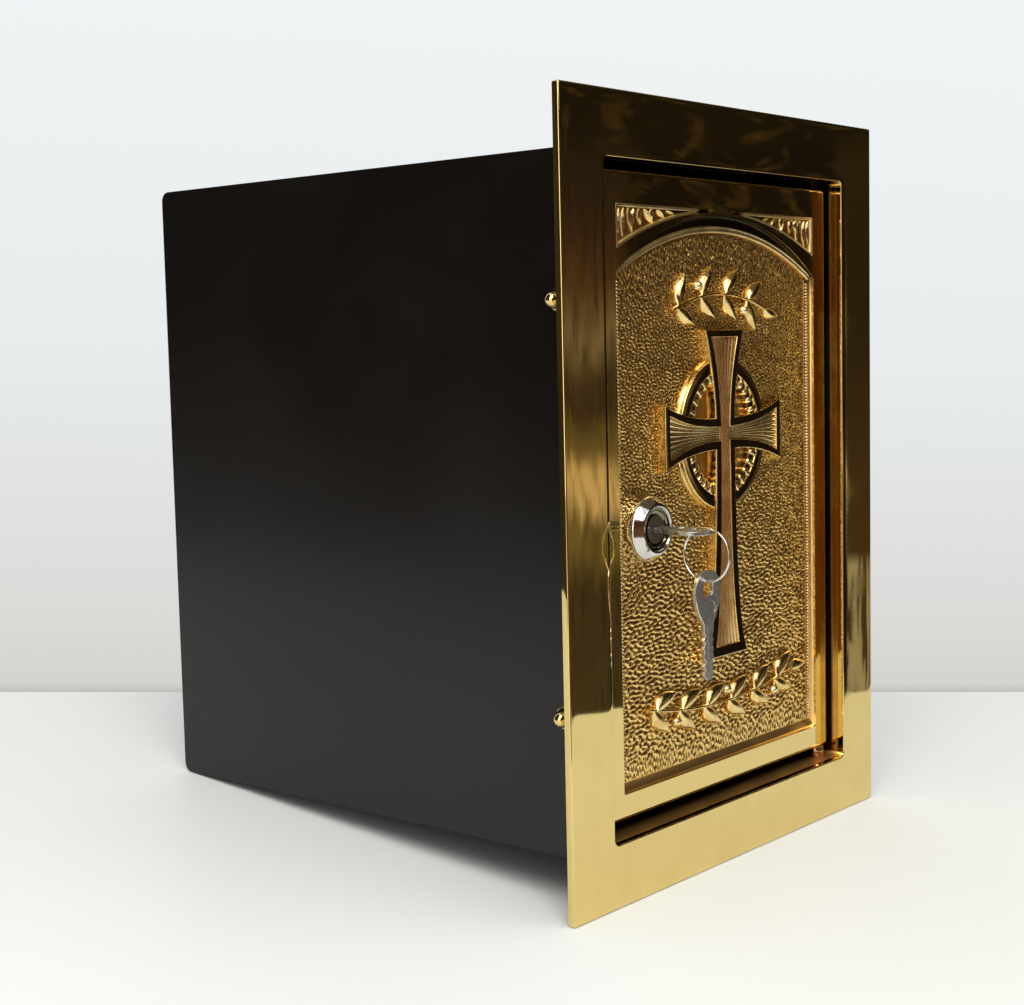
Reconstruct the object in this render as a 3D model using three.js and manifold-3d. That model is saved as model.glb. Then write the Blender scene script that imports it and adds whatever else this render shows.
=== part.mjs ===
// Wall ambry: a steel box behind a brass face plate, closed by a cast brass door with a cam lock.
// Millimetres, X to the right, Y into the wall, Z up.
// The origin is the centre of the plate's back face, which lies against the wall.
import * as THREE from 'three';
import { mergeVertices } from 'three/addons/utils/BufferGeometryUtils.js';
import Module from 'manifold-3d';

const wasm = await Module();
wasm.setup();

// Face plate and its opening
const openingWidth = 171;
const openingHeight = 256;
const flangeSide = 11.5;
const flangeEnd = 21.5;
const plateThickness = 3;
const plateArris = 0.7;
const plateCorner = 1;
const openingCorner = 2.5;
const openingArris = 0.5;

// Brass collar brazed behind the opening
const collarDepth = 21;
const collarSideWall = 2;
const collarEndWall = 1.2;

// Steel box: one sheet folded over the top, back and bottom, and two flat sides
const boxSideSpace = 14;
const boxDepth = 233.5;
const boxSheet = 1.5;
const boxBend = 4;
const boxFitGap = 0.3;
const fixingHoleRadius = 3.25;
const fixingSpacingX = 120;
const fixingSpacingZ = 180;

// Studs and cap nuts that hold the box to the collar
const studRadius = 2.5;
const studHeight = 76.5;
const studSetback = 5.5;
const studReach = 6.5;
const bossRadius = 5;
const bossGap = 0.3;
const threadGap = 0.15;
const studHoleGap = 0.4;
const nutFlats = 8;
const nutHexHeight = 4.5;
const nutDomeRadius = 3.7;
const nutDomeRise = 6.2;
const nutDomeSeat = 1;
const nutChamfer = 0.5;

// Door: a flat border round a sunk field
const doorSideGap = 1.6;
const doorTopGap = 3;
const doorBottomGap = 5;
const doorSetback = 4.5;
const doorThickness = 7;
const doorEdgeRadius = 1.6;
const doorCorner = 1.8;
const borderLeft = 14.3;
const borderRight = 10.3;
const borderTop = 12;
const borderBottom = 10;
const fieldDepth = 3;
const coveWidth = 3.5;
const sideCoveWidth = 1.8;
const panelCorner = 1;
const ornamentRoot = 1.5;

// Section of the cove round the field, as shares of its width and depth: steep first, then nearly flat
const coveProfile = [[0, 0], [0.06, 0.25], [0.16, 0.5], [0.36, 0.72], [0.66, 0.9], [1, 1]];

// Arch across the top of the field, and the two corner panels above it
const archCrownDrop = 8.2;
const archRadius = 144.4;
const archShoulder = 26.3;
const archCoveRise = 5.7;
const archBeadWidth = 2.3;
const archBeadHeight = 1.3;
const sideBeadWidth = 2;
const sideBeadHeight = 1.5;
const sideBeadCorner = 0.6;
const spandrelRadius = 168.4;
const spandrelCrownDrop = 1.7;
const spandrelMargin = 0.6;
const spandrelTip = 6;
const spandrelDepth = 1.8;
const spandrelDraft = 0.4;
const spandrelLeafWidth = 3.2;
const spandrelLeafSunk = 0.5;
const spandrelLeafInset = [3, 1.8];

// Carved leaves that fan out of each upper corner: how far along the top, their direction and their length
const spandrelFan = [
  [0, -92, 13],
  [4, -112, 11],
  [9, -140, 11],
  [16, -152, 12],
  [24, -160, 12],
  [33, -166, 11],
];

// Cross and ring in relief
const crossHeight = 22.4;
const crossRelief = 4;
const crossDraft = 0.8;
const crossArris = 0.3;
const flutePocket = 1.4;
const fluteDrop = 0.5;
const fluteHeight = 0.7;
const fluteCrown = 0.2;
const ringOuterRadius = 31;
const ringInnerRadius = 25.5;
const ringRelief = 3.2;
const toothInnerRadius = 21.8;
const toothWidth = 1.1;
const toothRelief = 2.3;
const toothTip = 0.75;
const toothSpacing = 11;
const toothDraft = 0.2;
const teethPerQuarter = 5;

// Olive sprigs in relief
const sprigRelief = 3.4;
const stemWidth = 1.8;
const oliveRadius = 2.2;
const leafStagger = 0.5;
const leafFoot = 0.3;
const leafFirst = 0.15;
const leafSlimness = 0.42;
const leafFullness = 0.85;
const leafCrest = { from: 0.12, length: 0.76, width: 0.45 };
const leafShoulder = 0.35;
const oliveOffset = 4.6;
const oliveRise = 2;
const tipLeaf = { at: 0.98, length: 0.9, slimness: 0.4 };

// Lock
const lockInset = 34;
const lockZ = -11.5;
const bezelRadius = 12.9;
const bezelRim = 4.3;
const bezelHeight = 8.1;
const bezelTopRadius = 9.7;
const bezelLip = 1.1;
const bezelEdge = 0.5;
const bezelStep = { width: 1, slope: 0.3, depth: 0.9 };
const barrelRadius = 9.5;
const barrelReach = 10;
const plugRadius = 5.5;
const plugGap = 0.3;
const plugRecess = 1.3;
const lockHoleGap = 0.3;
const washerRadius = 13;
const washerThickness = 1;
const lockNutFlats = 24;
const lockNutThickness = 4.5;
const camThickness = 2;
const camReach = 41;
const camRootRadius = 8;
const camTipRadius = 5;
const camGap = 0.25;
const tailSize = 6;
const camScrewRadius = 1.5;
const camScrewHead = 4.5;
const camScrewHeadHeight = 2.4;
const camScrewDepth = 4.2;
const camScrewSpare = 0.3;
const camScrewCrown = 0.7;
const screwSlot = 1;

// Keys and their ring
const keyBowLength = 20.5;
const keyBowWidth = 17;
const keyThickness = 1.8;
const keyBladeLength = 21.5;
const keyBladeWidth = 6.4;
const keyHoleRadius = 3.2;
const keyBridge = 3.8;
const keyShoulder = 3.7;
const keyEdge = 0.25;
const keywayGap = 0.3;
const bitCount = 5;
const bitDepth = 0.9;
const bitStart = 3;
const bitTip = 2;
const bitMouth = 0.45;
const bitFloor = 0.12;
const bitVariation = 0.3;
const bladePoint = 1.5;
const bladePointWidth = 0.4;
// The bow's curve, as shares of its length and width
const bow = { shoulder: 0.68, widest: 0.42, turn: 0.14, crown: 0.6 };
const ringRadius = 10.2;
const wireRadius = 0.5;
const wireGap = 0.2;

// Door pivots and door stop
const pivotInset = 4.5;
const pinRadius = 2;
const pinGap = 0.15;
const pinDepth = 9;
const pinHoleSpare = 1;
const bushRadius = 3.5;
const bushGap = 0.1;
const stopReach = 9.5;
const stopSheet = 2;
const stopHeight = 50;
const stopMiddle = 45;
const stopGap = 0.3;

const fineTurn = 36;
const coarseTurn = 16;
const oliveTurn = 12;

// What follows from those sizes
const boxWidth = openingWidth + 2 * boxSideSpace;
const collarWidth = openingWidth + 2 * collarSideWall;
const collarHeight = openingHeight + 2 * collarEndWall;
const boxHeight = collarHeight + 2 * (boxFitGap + boxSheet);
const boxInnerX = boxWidth / 2 - boxSheet;
const plateWidth = boxWidth + 2 * flangeSide;
const plateHeight = boxHeight + 2 * flangeEnd;
const doorWidth = openingWidth - 2 * doorSideGap;
const doorHeight = openingHeight - doorTopGap - doorBottomGap;
const doorMiddle = (doorBottomGap - doorTopGap) / 2;
const doorTop = doorMiddle + doorHeight / 2;
const doorBottom = doorMiddle - doorHeight / 2;
const doorFront = doorSetback;
const doorBack = doorFront + doorThickness;
const fieldFront = doorFront + fieldDepth;
const sunk = fieldFront + ornamentRoot;
const panelHalf = (doorWidth - borderLeft - borderRight) / 2;
const panelMiddle = (borderLeft - borderRight) / 2;
const panelTop = doorTop - borderTop;
const panelBottom = doorBottom + borderBottom;
const fieldHalf = panelHalf - sideCoveWidth;
const fieldBottom = panelBottom + coveWidth;
const archCrown = panelTop - archCrownDrop;
const pivotX = doorWidth / 2 - pivotInset;
const pivotY = (doorFront + doorBack) / 2;
const lockX = lockInset - openingWidth / 2;
const barrelEnd = doorBack + barrelReach;
const camFront = barrelEnd + camGap;
const camBack = camFront + camThickness;
const plugFront = fieldFront - bezelHeight + plugRecess;
const bladeTip = keyBladeLength - keyShoulder;
const ringY = -keyShoulder - keyBowLength + keyBridge / 2;
const ringTop = lockZ + keyThickness / 2 + wireGap + wireRadius;
const ringZ = ringTop - ringRadius;
const ringLow = ringZ - ringRadius;

// The four arms of the cross. Distances run from the crossing: half widths of the rim and of the flutes
// at the root, at the control point of the flare and at the end.
const sideArm = {
  rim: [[6.4, 6.4], [27, 6.4], [42, 12.8]],
  flutes: [[3.2, 2.7], [25, 2.9], [39, 8.8]],
  ribs: 8,
};
const topArm = {
  rim: [[6.4, 6.6], [21.6, 7.2], [42.1, 13.5]],
  flutes: [[0, 3.2], [22, 3.4], [39.2, 9.5]],
  ribs: 6,
};
const stemArm = {
  rim: [[6.4, 6.8], [82.4, 7.5], [91.7, 15]],
  flutes: [[0, 3.2], [70, 3.3], [87.4, 8.6]],
  ribs: 6,
};
const crossArms = [
  { ...sideArm, turn: 0 },
  { ...topArm, turn: 90 },
  { ...sideArm, turn: 180 },
  { ...stemArm, turn: 270 },
];

// The two sprigs: the circle that the stem follows, the angles it spans and its leaves
const upperSprig = { centreZ: -10, radius: 89, from: 112, to: 68, pairs: 4, leaf: 14, spread: 42 };
const lowerSprig = { centreZ: 168, radius: 257, from: 258, to: 282, pairs: 6, leaf: 16, spread: 40 };

const degrees = THREE.MathUtils.degToRad;
const flat2 = (x, z) => new THREE.Vector2(x, z);

// Points of an arc, in degrees, with both ends
function arc(x, z, radius, from, to, steps) {
  const points = [];
  for (let i = 0; i <= steps; i += 1) {
    const angle = degrees(THREE.MathUtils.lerp(from, to, i / steps));
    points.push(flat2(x + radius * Math.cos(angle), z + radius * Math.sin(angle)));
  }
  return points;
}

function roundedRectangle(width, height, radius, middle = 0, steps = 4) {
  const corners = [[1, -1], [1, 1], [-1, 1], [-1, -1]];
  const reachX = width / 2 - radius;
  const reachZ = height / 2 - radius;
  return corners.flatMap(([x, z], quarter) =>
    arc(x * reachX, middle + z * reachZ, radius, (quarter - 1) * 90, quarter * 90, steps));
}

function polygon(flats, sides, turn = 0) {
  const corner = flats / 2 / Math.cos(Math.PI / sides);
  return arc(0, 0, corner, turn, turn + 360, sides).slice(0, sides);
}

// The outline moved inwards, or outwards by a negative distance, with mitred corners
function inset(outline, distance) {
  const turn = Math.sign(THREE.ShapeUtils.area(outline));
  return outline.map((point, i) => {
    const into = point.clone().sub(outline.at(i - 1)).normalize();
    const out = outline[(i + 1) % outline.length].clone().sub(point).normalize();
    const mitre = flat2(-into.y - out.y, into.x + out.x);
    return point.clone().addScaledVector(mitre, (turn * distance * 2) / mitre.lengthSq());
  });
}

const atY = (outline, y) => outline.map((point) => new THREE.Vector3(point.x, y, point.y));

// A ring of points seen square on, for its cap
function flatten(ring) {
  const normal = new THREE.Vector3();
  ring.forEach((point, i) => normal.add(point.clone().cross(ring[(i + 1) % ring.length])));
  const size = normal.toArray().map(Math.abs);
  const kept = [0, 1, 2].filter((axis) => axis !== size.indexOf(Math.max(...size)));
  return ring.map((point) => flat2(point.getComponent(kept[0]), point.getComponent(kept[1])));
}

// Walls between rings of as many points each, closed by a flat cap at both ends
function loft(rings) {
  const count = rings[0].length;
  const index = [];
  for (let i = 0; i < (rings.length - 1) * count; i += 1) {
    const next = (i + 1) % count ? i + 1 : i + 1 - count;
    index.push(i, next, next + count, i, next + count, i + count);
  }
  [0, rings.length - 1].forEach((layer) => {
    const cap = flatten(rings[layer]);
    const turn = Math.sign(THREE.ShapeUtils.area(cap)) * (layer ? 1 : -1);
    THREE.ShapeUtils.triangulateShape(cap, []).forEach((face) => {
      const facing = Math.sign(THREE.ShapeUtils.area(face.map((corner) => cap[corner])));
      const corners = facing === turn ? face : [face[0], face[2], face[1]];
      index.push(...corners.map((corner) => corner + layer * count));
    });
  });
  const geometry = new THREE.BufferGeometry();
  const numbers = rings.flat().flatMap((point) => point.toArray());
  geometry.setAttribute('position', new THREE.Float32BufferAttribute(numbers, 3));
  geometry.setIndex(index);
  return geometry;
}

// A closed geometry as a solid, with its faces pointing out
function solid(geometry) {
  const bare = geometry.clone();
  bare.deleteAttribute('normal');
  bare.deleteAttribute('uv');
  const merged = mergeVertices(bare, 1e-4);
  const place = merged.attributes.position;
  const corner = [0, 1, 2].map(() => new THREE.Vector3());
  const faces = [];
  let volume = 0;
  for (let i = 0; i < merged.index.count; i += 3) {
    const face = [0, 1, 2].map((k) => merged.index.getX(i + k));
    if (new Set(face).size === 3) {
      face.forEach((vertex, k) => corner[k].fromBufferAttribute(place, vertex));
      volume += corner[0].dot(corner[1].cross(corner[2]));
      faces.push(face);
    }
  }
  const outward = faces.flatMap((face) => (volume > 0 ? face : [face[0], face[2], face[1]]));
  const vertProperties = new Float32Array(place.array);
  const triVerts = new Uint32Array(outward);
  return new wasm.Manifold(new wasm.Mesh({ numProp: 3, vertProperties, triVerts }));
}

const joined = (solids) => solids.reduce((whole, piece) => whole.add(piece));
const cut = (whole, tools) => tools.reduce((left, tool) => left.subtract(tool), whole);

// A prism of an outline in X and Z, between two Y planes
const slab = (outline, front, back) => solid(loft([atY(outline, front), atY(outline, back)]));

function block(x, y, z) {
  const size = [x, y, z].map(([low, high]) => high - low);
  const middle = [x, y, z].map(([low, high]) => (low + high) / 2);
  return solid(new THREE.BoxGeometry(...size).translate(...middle));
}

// A profile of [radius, distance] turned about Y
function turned(profile, steps = fineTurn) {
  return new THREE.LatheGeometry(profile.map(([radius, y]) => flat2(radius, y)), steps);
}

function rod(radius, front, back, steps = fineTurn) {
  return turned([[0, front], [radius, front], [radius, back], [0, back]], steps);
}

// A flat ring or a stepped sleeve about Y, from a profile that closes on itself
const sleeve = (profile, steps) => turned([...profile, profile[0]], steps);

function finish(name, piece, colour, roughness, metalness = 1) {
  const mesh = piece.getMesh();
  const geometry = new THREE.BufferGeometry();
  geometry.setAttribute('position', new THREE.BufferAttribute(new Float32Array(mesh.vertProperties), 3));
  geometry.setIndex(new THREE.BufferAttribute(new Uint32Array(mesh.triVerts), 1));
  geometry.computeVertexNormals();
  const material = new THREE.MeshStandardMaterial({ color: colour, roughness, metalness, flatShading: true });
  const made = new THREE.Mesh(geometry, material);
  made.name = name;
  return made;
}

const polishedBrass = (name, piece) => finish(name, piece, 0xc9a24d, 0.12);
const copperBrass = (name, piece) => finish(name, piece, 0xa8703a, 0.25);
const darkSteel = (name, piece) => finish(name, piece, 0x1b1714, 0.5, 0);
const chrome = (name, piece) => finish(name, piece, 0xd9d9dc, 0.08);
const zincSteel = (name, piece) => finish(name, piece, 0x9da0a3, 0.35);

function facePlate() {
  const back = plateThickness - plateArris;
  const outline = roundedRectangle(plateWidth, plateHeight, plateCorner, 0, 2);
  const opening = roundedRectangle(openingWidth, openingHeight, openingCorner);
  const plate = solid(loft([
    atY(outline, 0),
    atY(outline, -back),
    atY(inset(outline, plateArris), -plateThickness),
  ]));
  const mouth = solid(loft([
    atY(opening, 1),
    atY(opening, openingArris - plateThickness),
    atY(inset(opening, -openingArris), -plateThickness),
    atY(inset(opening, -openingArris), -plateThickness - 1),
  ]));
  return polishedBrass('faceplate', plate.subtract(mouth));
}

// The two pivot pins are set in the collar's end walls, over each other
function openingCollar() {
  const outline = roundedRectangle(collarWidth, collarHeight, openingCorner + collarEndWall);
  const opening = roundedRectangle(openingWidth, openingHeight, openingCorner);
  const bosses = [-1, 1].flatMap((side) => [-1, 1].map((level) => {
    const inner = openingWidth / 2 + collarSideWall / 2;
    const boss = rod(bossRadius, inner, boxInnerX - bossGap, coarseTurn).rotateZ(degrees(-90 * side));
    return solid(boss.translate(0, studSetback, level * studHeight));
  }));
  const bores = [-1, 1].flatMap((side) => [-1, 1].map((level) => {
    const inner = openingWidth / 2 + collarSideWall;
    const bore = rod(studRadius + threadGap, inner, boxInnerX, coarseTurn).rotateZ(degrees(-90 * side));
    return solid(bore.translate(0, studSetback, level * studHeight));
  }));
  const pinHole = rod(pinRadius + pinGap, -collarHeight, collarHeight, coarseTurn);
  const collar = joined([slab(outline, 0, collarDepth), ...bosses]);
  return polishedBrass('opening_collar', cut(collar, [
    slab(opening, -1, collarDepth + 1),
    ...bores,
    solid(pinHole.rotateX(degrees(90)).translate(pivotX, pivotY, 0)),
  ]));
}

// Outline of the box in Y and Z, with both back corners bent
function boxSection(shrink) {
  const back = boxDepth - shrink;
  const half = boxHeight / 2 - shrink;
  const bend = boxBend - shrink;
  return [
    flat2(0, -half),
    ...arc(back - bend, bend - half, bend, -90, 0, 4),
    ...arc(back - bend, half - bend, bend, 0, 90, 4),
    flat2(0, half),
  ];
}

const atX = (outline, x) => outline.map((point) => new THREE.Vector3(x, point.x, point.y));

function boxWrap() {
  const outer = boxSection(0);
  const inner = boxSection(boxSheet).reverse();
  const sheet = solid(loft([-boxInnerX, boxInnerX].map((x) => atX([...outer, ...inner], x))));
  const holes = [-1, 1].flatMap((side) => [-1, 1].map((level) => {
    const hole = rod(fixingHoleRadius, boxDepth - 2 * boxSheet, boxDepth + boxSheet, coarseTurn);
    return solid(hole.translate((side * fixingSpacingX) / 2, 0, (level * fixingSpacingZ) / 2));
  }));
  return darkSteel('box_wrap', cut(sheet, holes));
}

function boxSide(name, side) {
  const panel = solid(loft([boxInnerX, boxWidth / 2].map((x) => atX(boxSection(0), side * x))));
  const holes = [-1, 1].map((level) => {
    const hole = rod(studRadius + studHoleGap, boxInnerX - 1, boxWidth / 2 + 1, coarseTurn);
    return solid(hole.rotateZ(degrees(-90 * side)).translate(0, studSetback, level * studHeight));
  });
  return darkSteel(name, cut(panel, holes));
}

// Stud and cap nut are drawn along Y, and turned out to the side of the box
function boxStud(name) {
  const inner = openingWidth / 2 + collarSideWall + threadGap;
  return polishedBrass(name, solid(rod(studRadius, inner, boxWidth / 2 + studReach, coarseTurn)));
}

function capNut(name) {
  const seat = boxWidth / 2;
  const shoulder = seat + nutHexHeight;
  const hexagon = polygon(nutFlats, 6, 30);
  const prism = solid(loft([
    atY(inset(hexagon, nutChamfer / 2), seat),
    atY(hexagon, seat + nutChamfer),
    atY(hexagon, shoulder - nutChamfer),
    atY(inset(hexagon, nutChamfer / 2), shoulder),
  ]));
  const domeFoot = shoulder - nutDomeSeat;
  const quarter = arc(0, 0, 1, 0, 90, 5).slice(0, -1);
  const rounded = quarter.map((point) => [nutDomeRadius * point.x, domeFoot + nutDomeRise * point.y]);
  const dome = solid(turned([[0, domeFoot], ...rounded, [0, domeFoot + nutDomeRise]], coarseTurn));
  const depth = studReach + threadGap;
  const bore = solid(rod(studRadius + threadGap, seat - 1, seat + depth, coarseTurn));
  return polishedBrass(name, prism.add(dome).subtract(bore));
}

// Outline of the sunk field, whose top follows an arc
function fieldOutline(half, bottom, crown, shoulder) {
  const rise = crown - shoulder;
  const radius = (half * half + rise * rise) / (2 * rise);
  const open = THREE.MathUtils.radToDeg(Math.asin(half / radius));
  const low = roundedRectangle(2 * half, 4 * panelCorner, panelCorner, bottom + 2 * panelCorner, 2);
  const top = arc(0, crown - radius, radius, 90 - open, 90 + open, 24);
  return [...low.slice(0, 3), ...top, ...low.slice(-3)];
}

function fieldPocket() {
  const shoulder = panelTop - archShoulder;
  const fieldShoulder = archCrown - archRadius + Math.sqrt(archRadius ** 2 - fieldHalf ** 2);
  const rim = fieldOutline(panelHalf, panelBottom, archCrown + archCoveRise, shoulder);
  const floor = fieldOutline(fieldHalf, fieldBottom, archCrown, fieldShoulder);
  const rings = coveProfile.map(([across, down]) =>
    atY(rim.map((point, i) => point.clone().lerp(floor[i], across)), doorFront + down * fieldDepth));
  return solid(loft([atY(rim, doorFront - 1), ...rings]));
}

const archHeight = (x, radius, crown) => crown - radius + Math.sqrt(radius ** 2 - x ** 2);

// The bead that the field has below the arch, and a lower one down each side
function fieldBeads() {
  const open = THREE.MathUtils.radToDeg(Math.asin(fieldHalf / archRadius));
  const middle = archCrown - archRadius;
  const bead = [
    ...arc(0, middle, archRadius, 90 - open, 90 + open, 24),
    ...arc(0, middle, archRadius - archBeadWidth, 90 + open, 90 - open, 24),
  ];
  const top = archHeight(fieldHalf, archRadius, archCrown) - archBeadWidth;
  const raised = (outline, height) => solid(loft([
    atY(outline, sunk),
    atY(outline, fieldFront - height / 2),
    atY(inset(outline, height / 2), fieldFront - height),
  ]));
  const sides = [-1, 1].map((side) => {
    const middleZ = (top + fieldBottom) / 2;
    const strip = roundedRectangle(sideBeadWidth, top - fieldBottom, sideBeadCorner, middleZ, 1);
    const centre = side * (fieldHalf - sideBeadWidth / 2);
    return raised(strip.map((point) => flat2(point.x + centre, point.y)), sideBeadHeight);
  });
  return [raised(bead, archBeadHeight), ...sides];
}

function spandrelOutline(side) {
  const crown = panelTop - spandrelCrownDrop;
  const outer = panelHalf - spandrelMargin;
  const curve = [];
  for (let i = 0; i <= 10; i += 1) {
    const x = THREE.MathUtils.lerp(spandrelTip, outer, i / 10);
    curve.push(flat2(side * x, archHeight(x, spandrelRadius, crown)));
  }
  const top = panelTop - spandrelMargin;
  return [...curve, flat2(side * outer, top), flat2(side * spandrelTip, top)];
}

function spandrelPocket(side) {
  const outline = spandrelOutline(side);
  return solid(loft([
    atY(outline, doorFront - 1),
    atY(outline, doorFront),
    atY(inset(outline, spandrelDraft), doorFront + spandrelDepth),
  ]));
}

// A pointed leaf from its stalk at x, z, along a direction in degrees, with a raised middle
function leaf(x, z, direction, length, width, top, base = sunk) {
  const half = [];
  for (let i = 0; i <= 6; i += 1) {
    half.push(flat2((length * i) / 6, (width / 2) * Math.sin(Math.PI * (i / 6) ** leafFullness)));
  }
  const outline = [...half, ...half.slice(1, -1).reverse().map((point) => flat2(point.x, -point.y))];
  const crest = outline.map((point) =>
    flat2(length * leafCrest.from + point.x * leafCrest.length, point.y * leafCrest.width));
  const place = (points) => points.map((point) =>
    point.clone().rotateAround(flat2(0, 0), degrees(direction)).add(flat2(x, z)));
  const shoulder = top + leafShoulder * (fieldFront - top);
  return solid(loft([
    atY(place(outline), base),
    atY(place(outline), shoulder),
    atY(place(crest), top),
  ]));
}

function spandrelLeaves(side) {
  const floor = doorFront + spandrelDepth;
  const top = doorFront + spandrelLeafSunk;
  const [insetX, insetZ] = spandrelLeafInset;
  return spandrelFan.map(([across, direction, length]) => {
    const x = panelHalf - insetX - across;
    const angle = side > 0 ? direction : 180 - direction;
    const root = floor + spandrelLeafSunk;
    return leaf(side * x, panelTop - insetZ, angle, length, spandrelLeafWidth, top, root);
  });
}

const flare = ([root, control, end], t) => [0, 1].map((k) =>
  (1 - t) ** 2 * root[k] + 2 * t * (1 - t) * control[k] + t ** 2 * end[k]);

// A point of an arm, so far out from the crossing and so far to its left
function onArm(arm, out, aside) {
  return flat2(out, aside).rotateAround(flat2(0, 0), degrees(arm.turn)).add(flat2(0, crossHeight));
}

function armOutline(arm, curve, steps = 6) {
  const right = [];
  const left = [];
  for (let i = 0; i <= steps; i += 1) {
    const [out, half] = flare(curve, i / steps);
    right.push(onArm(arm, out, -half));
    left.unshift(onArm(arm, out, half));
  }
  return [onArm(arm, 0, -curve[0][1]), ...right, ...left, onArm(arm, 0, curve[0][1])]
    .filter((point, i, all) => point.distanceTo(all.at(i - 1)) > 0.01);
}

function armBody(arm) {
  const outline = armOutline(arm, arm.rim);
  const top = fieldFront - crossRelief;
  return solid(loft([
    atY(inset(outline, -crossDraft), sunk),
    atY(inset(outline, -crossDraft), fieldFront),
    atY(outline, top + crossArris),
    atY(inset(outline, crossArris), top),
  ]));
}

function armPocket(arm) {
  const top = fieldFront - crossRelief;
  return slab(armOutline(arm, arm.flutes), top - 1, top + flutePocket);
}

// Ribs that spread from the crossing to the end of the arm
function armFlutes(arm) {
  const steps = 5;
  const crest = fieldFront - crossRelief + fluteDrop;
  const under = fieldFront - crossRelief + flutePocket + 0.4;
  const rings = [];
  for (let i = 0; i <= steps; i += 1) {
    const [out, half] = flare(arm.flutes, i / steps);
    const wide = half + 0.2;
    const pitch = (2 * half) / arm.ribs;
    const fall = Math.min(fluteHeight, 0.55 * pitch);
    const ring = [];
    for (let k = 0; k <= 2 * arm.ribs; k += 1) {
      const aside = k / arm.ribs - 1;
      const point = onArm(arm, out, wide * aside);
      const depth = (k % 2 ? 0 : fall) + fluteCrown * aside ** 2;
      ring.push(new THREE.Vector3(point.x, crest + depth, point.y));
    }
    const corners = [wide, -wide].map((aside) => onArm(arm, out, aside));
    rings.push([...ring, ...atY(corners, under)]);
  }
  return solid(loft(rings));
}

function reliefRing() {
  const top = fieldFront - ringRelief;
  const profile = [
    [ringInnerRadius, sunk],
    [ringOuterRadius + crossDraft, sunk],
    [ringOuterRadius + crossDraft, fieldFront],
    [ringOuterRadius, top + crossArris],
    [ringOuterRadius - crossArris, top],
    [ringInnerRadius + crossArris, top],
    [ringInnerRadius, top + crossArris],
  ];
  return solid(sleeve(profile, 48).translate(0, 0, crossHeight));
}

// Small teeth that point inwards from the ring, between the arms of the cross
function ringTeeth() {
  const teeth = [];
  for (let quarter = 0; quarter < 4; quarter += 1) {
    for (let i = 0; i < teethPerQuarter; i += 1) {
      const angle = quarter * 90 + 45 + (i - (teethPerQuarter - 1) / 2) * toothSpacing;
      const outline = [
        flat2(toothInnerRadius, toothWidth * toothTip),
        flat2(toothInnerRadius, -toothWidth * toothTip),
        flat2(ringInnerRadius + 1, -toothWidth),
        flat2(ringInnerRadius + 1, toothWidth),
      ].map((point) => point.rotateAround(flat2(0, 0), degrees(angle)).add(flat2(0, crossHeight)));
      teeth.push(solid(loft([
        atY(outline, sunk),
        atY(inset(outline, toothDraft), fieldFront - toothRelief),
      ])));
    }
  }
  return teeth;
}

function olive(x, z) {
  const top = fieldFront - sprigRelief;
  const quarter = arc(0, 0, 1, 0, 90, 3).slice(0, -1);
  const bulge = quarter.map((point) => [oliveRadius * point.x, top + oliveRise * (1 - point.y)]);
  const profile = [[0, sunk], [oliveRadius, sunk], ...bulge, [0, top]];
  return solid(turned(profile, oliveTurn).translate(x, 0, z));
}

// A stem on an arc with leaves in pairs, a leaf at its tip and an olive in every second fork
function sprig({ centreZ, radius, from, to, pairs, leaf: length, spread }) {
  const top = fieldFront - sprigRelief;
  const stem = [
    ...arc(0, centreZ, radius + stemWidth / 2, from, to, 16),
    ...arc(0, centreZ, radius - stemWidth / 2, to, from, 16),
  ];
  const along = Math.sign(to - from) * 90;
  const pieces = [slab(stem, top + 1, sunk)];
  for (let i = 0; i < pairs; i += 1) {
    const angle = THREE.MathUtils.lerp(from, to, (i + leafFirst) / pairs);
    [-1, 1].forEach((side) => {
      const stagger = ((side + 1) / 2) * leafStagger * Math.sign(to - from);
      const [foot] = arc(0, centreZ, radius + side * leafFoot, angle + stagger, angle + stagger, 1);
      const direction = angle + along + side * spread;
      pieces.push(leaf(foot.x, foot.y, direction, length, length * leafSlimness, top));
    });
    if (i % 2) {
      const aside = i % 4 === 1 ? oliveOffset : -oliveOffset;
      const [fork] = arc(0, centreZ, radius + aside, angle, angle, 1);
      pieces.push(olive(fork.x, fork.y));
    }
  }
  const end = THREE.MathUtils.lerp(from, to, tipLeaf.at);
  const [tip] = arc(0, centreZ, radius, end, end, 1);
  const tipLength = length * tipLeaf.length;
  pieces.push(leaf(tip.x, tip.y, to + along, tipLength, tipLength * tipLeaf.slimness, top));
  return pieces;
}

function doorBlank() {
  const outline = roundedRectangle(doorWidth, doorHeight, doorCorner, doorMiddle, 3);
  const rounding = arc(0, 0, doorEdgeRadius, 0, 90, 3).map((point) => [
    doorEdgeRadius - point.x,
    doorFront + doorEdgeRadius - point.y,
  ]);
  return solid(loft([
    atY(outline, doorBack),
    ...rounding.map(([inward, y]) => atY(inset(outline, inward), y)),
  ]));
}

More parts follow.
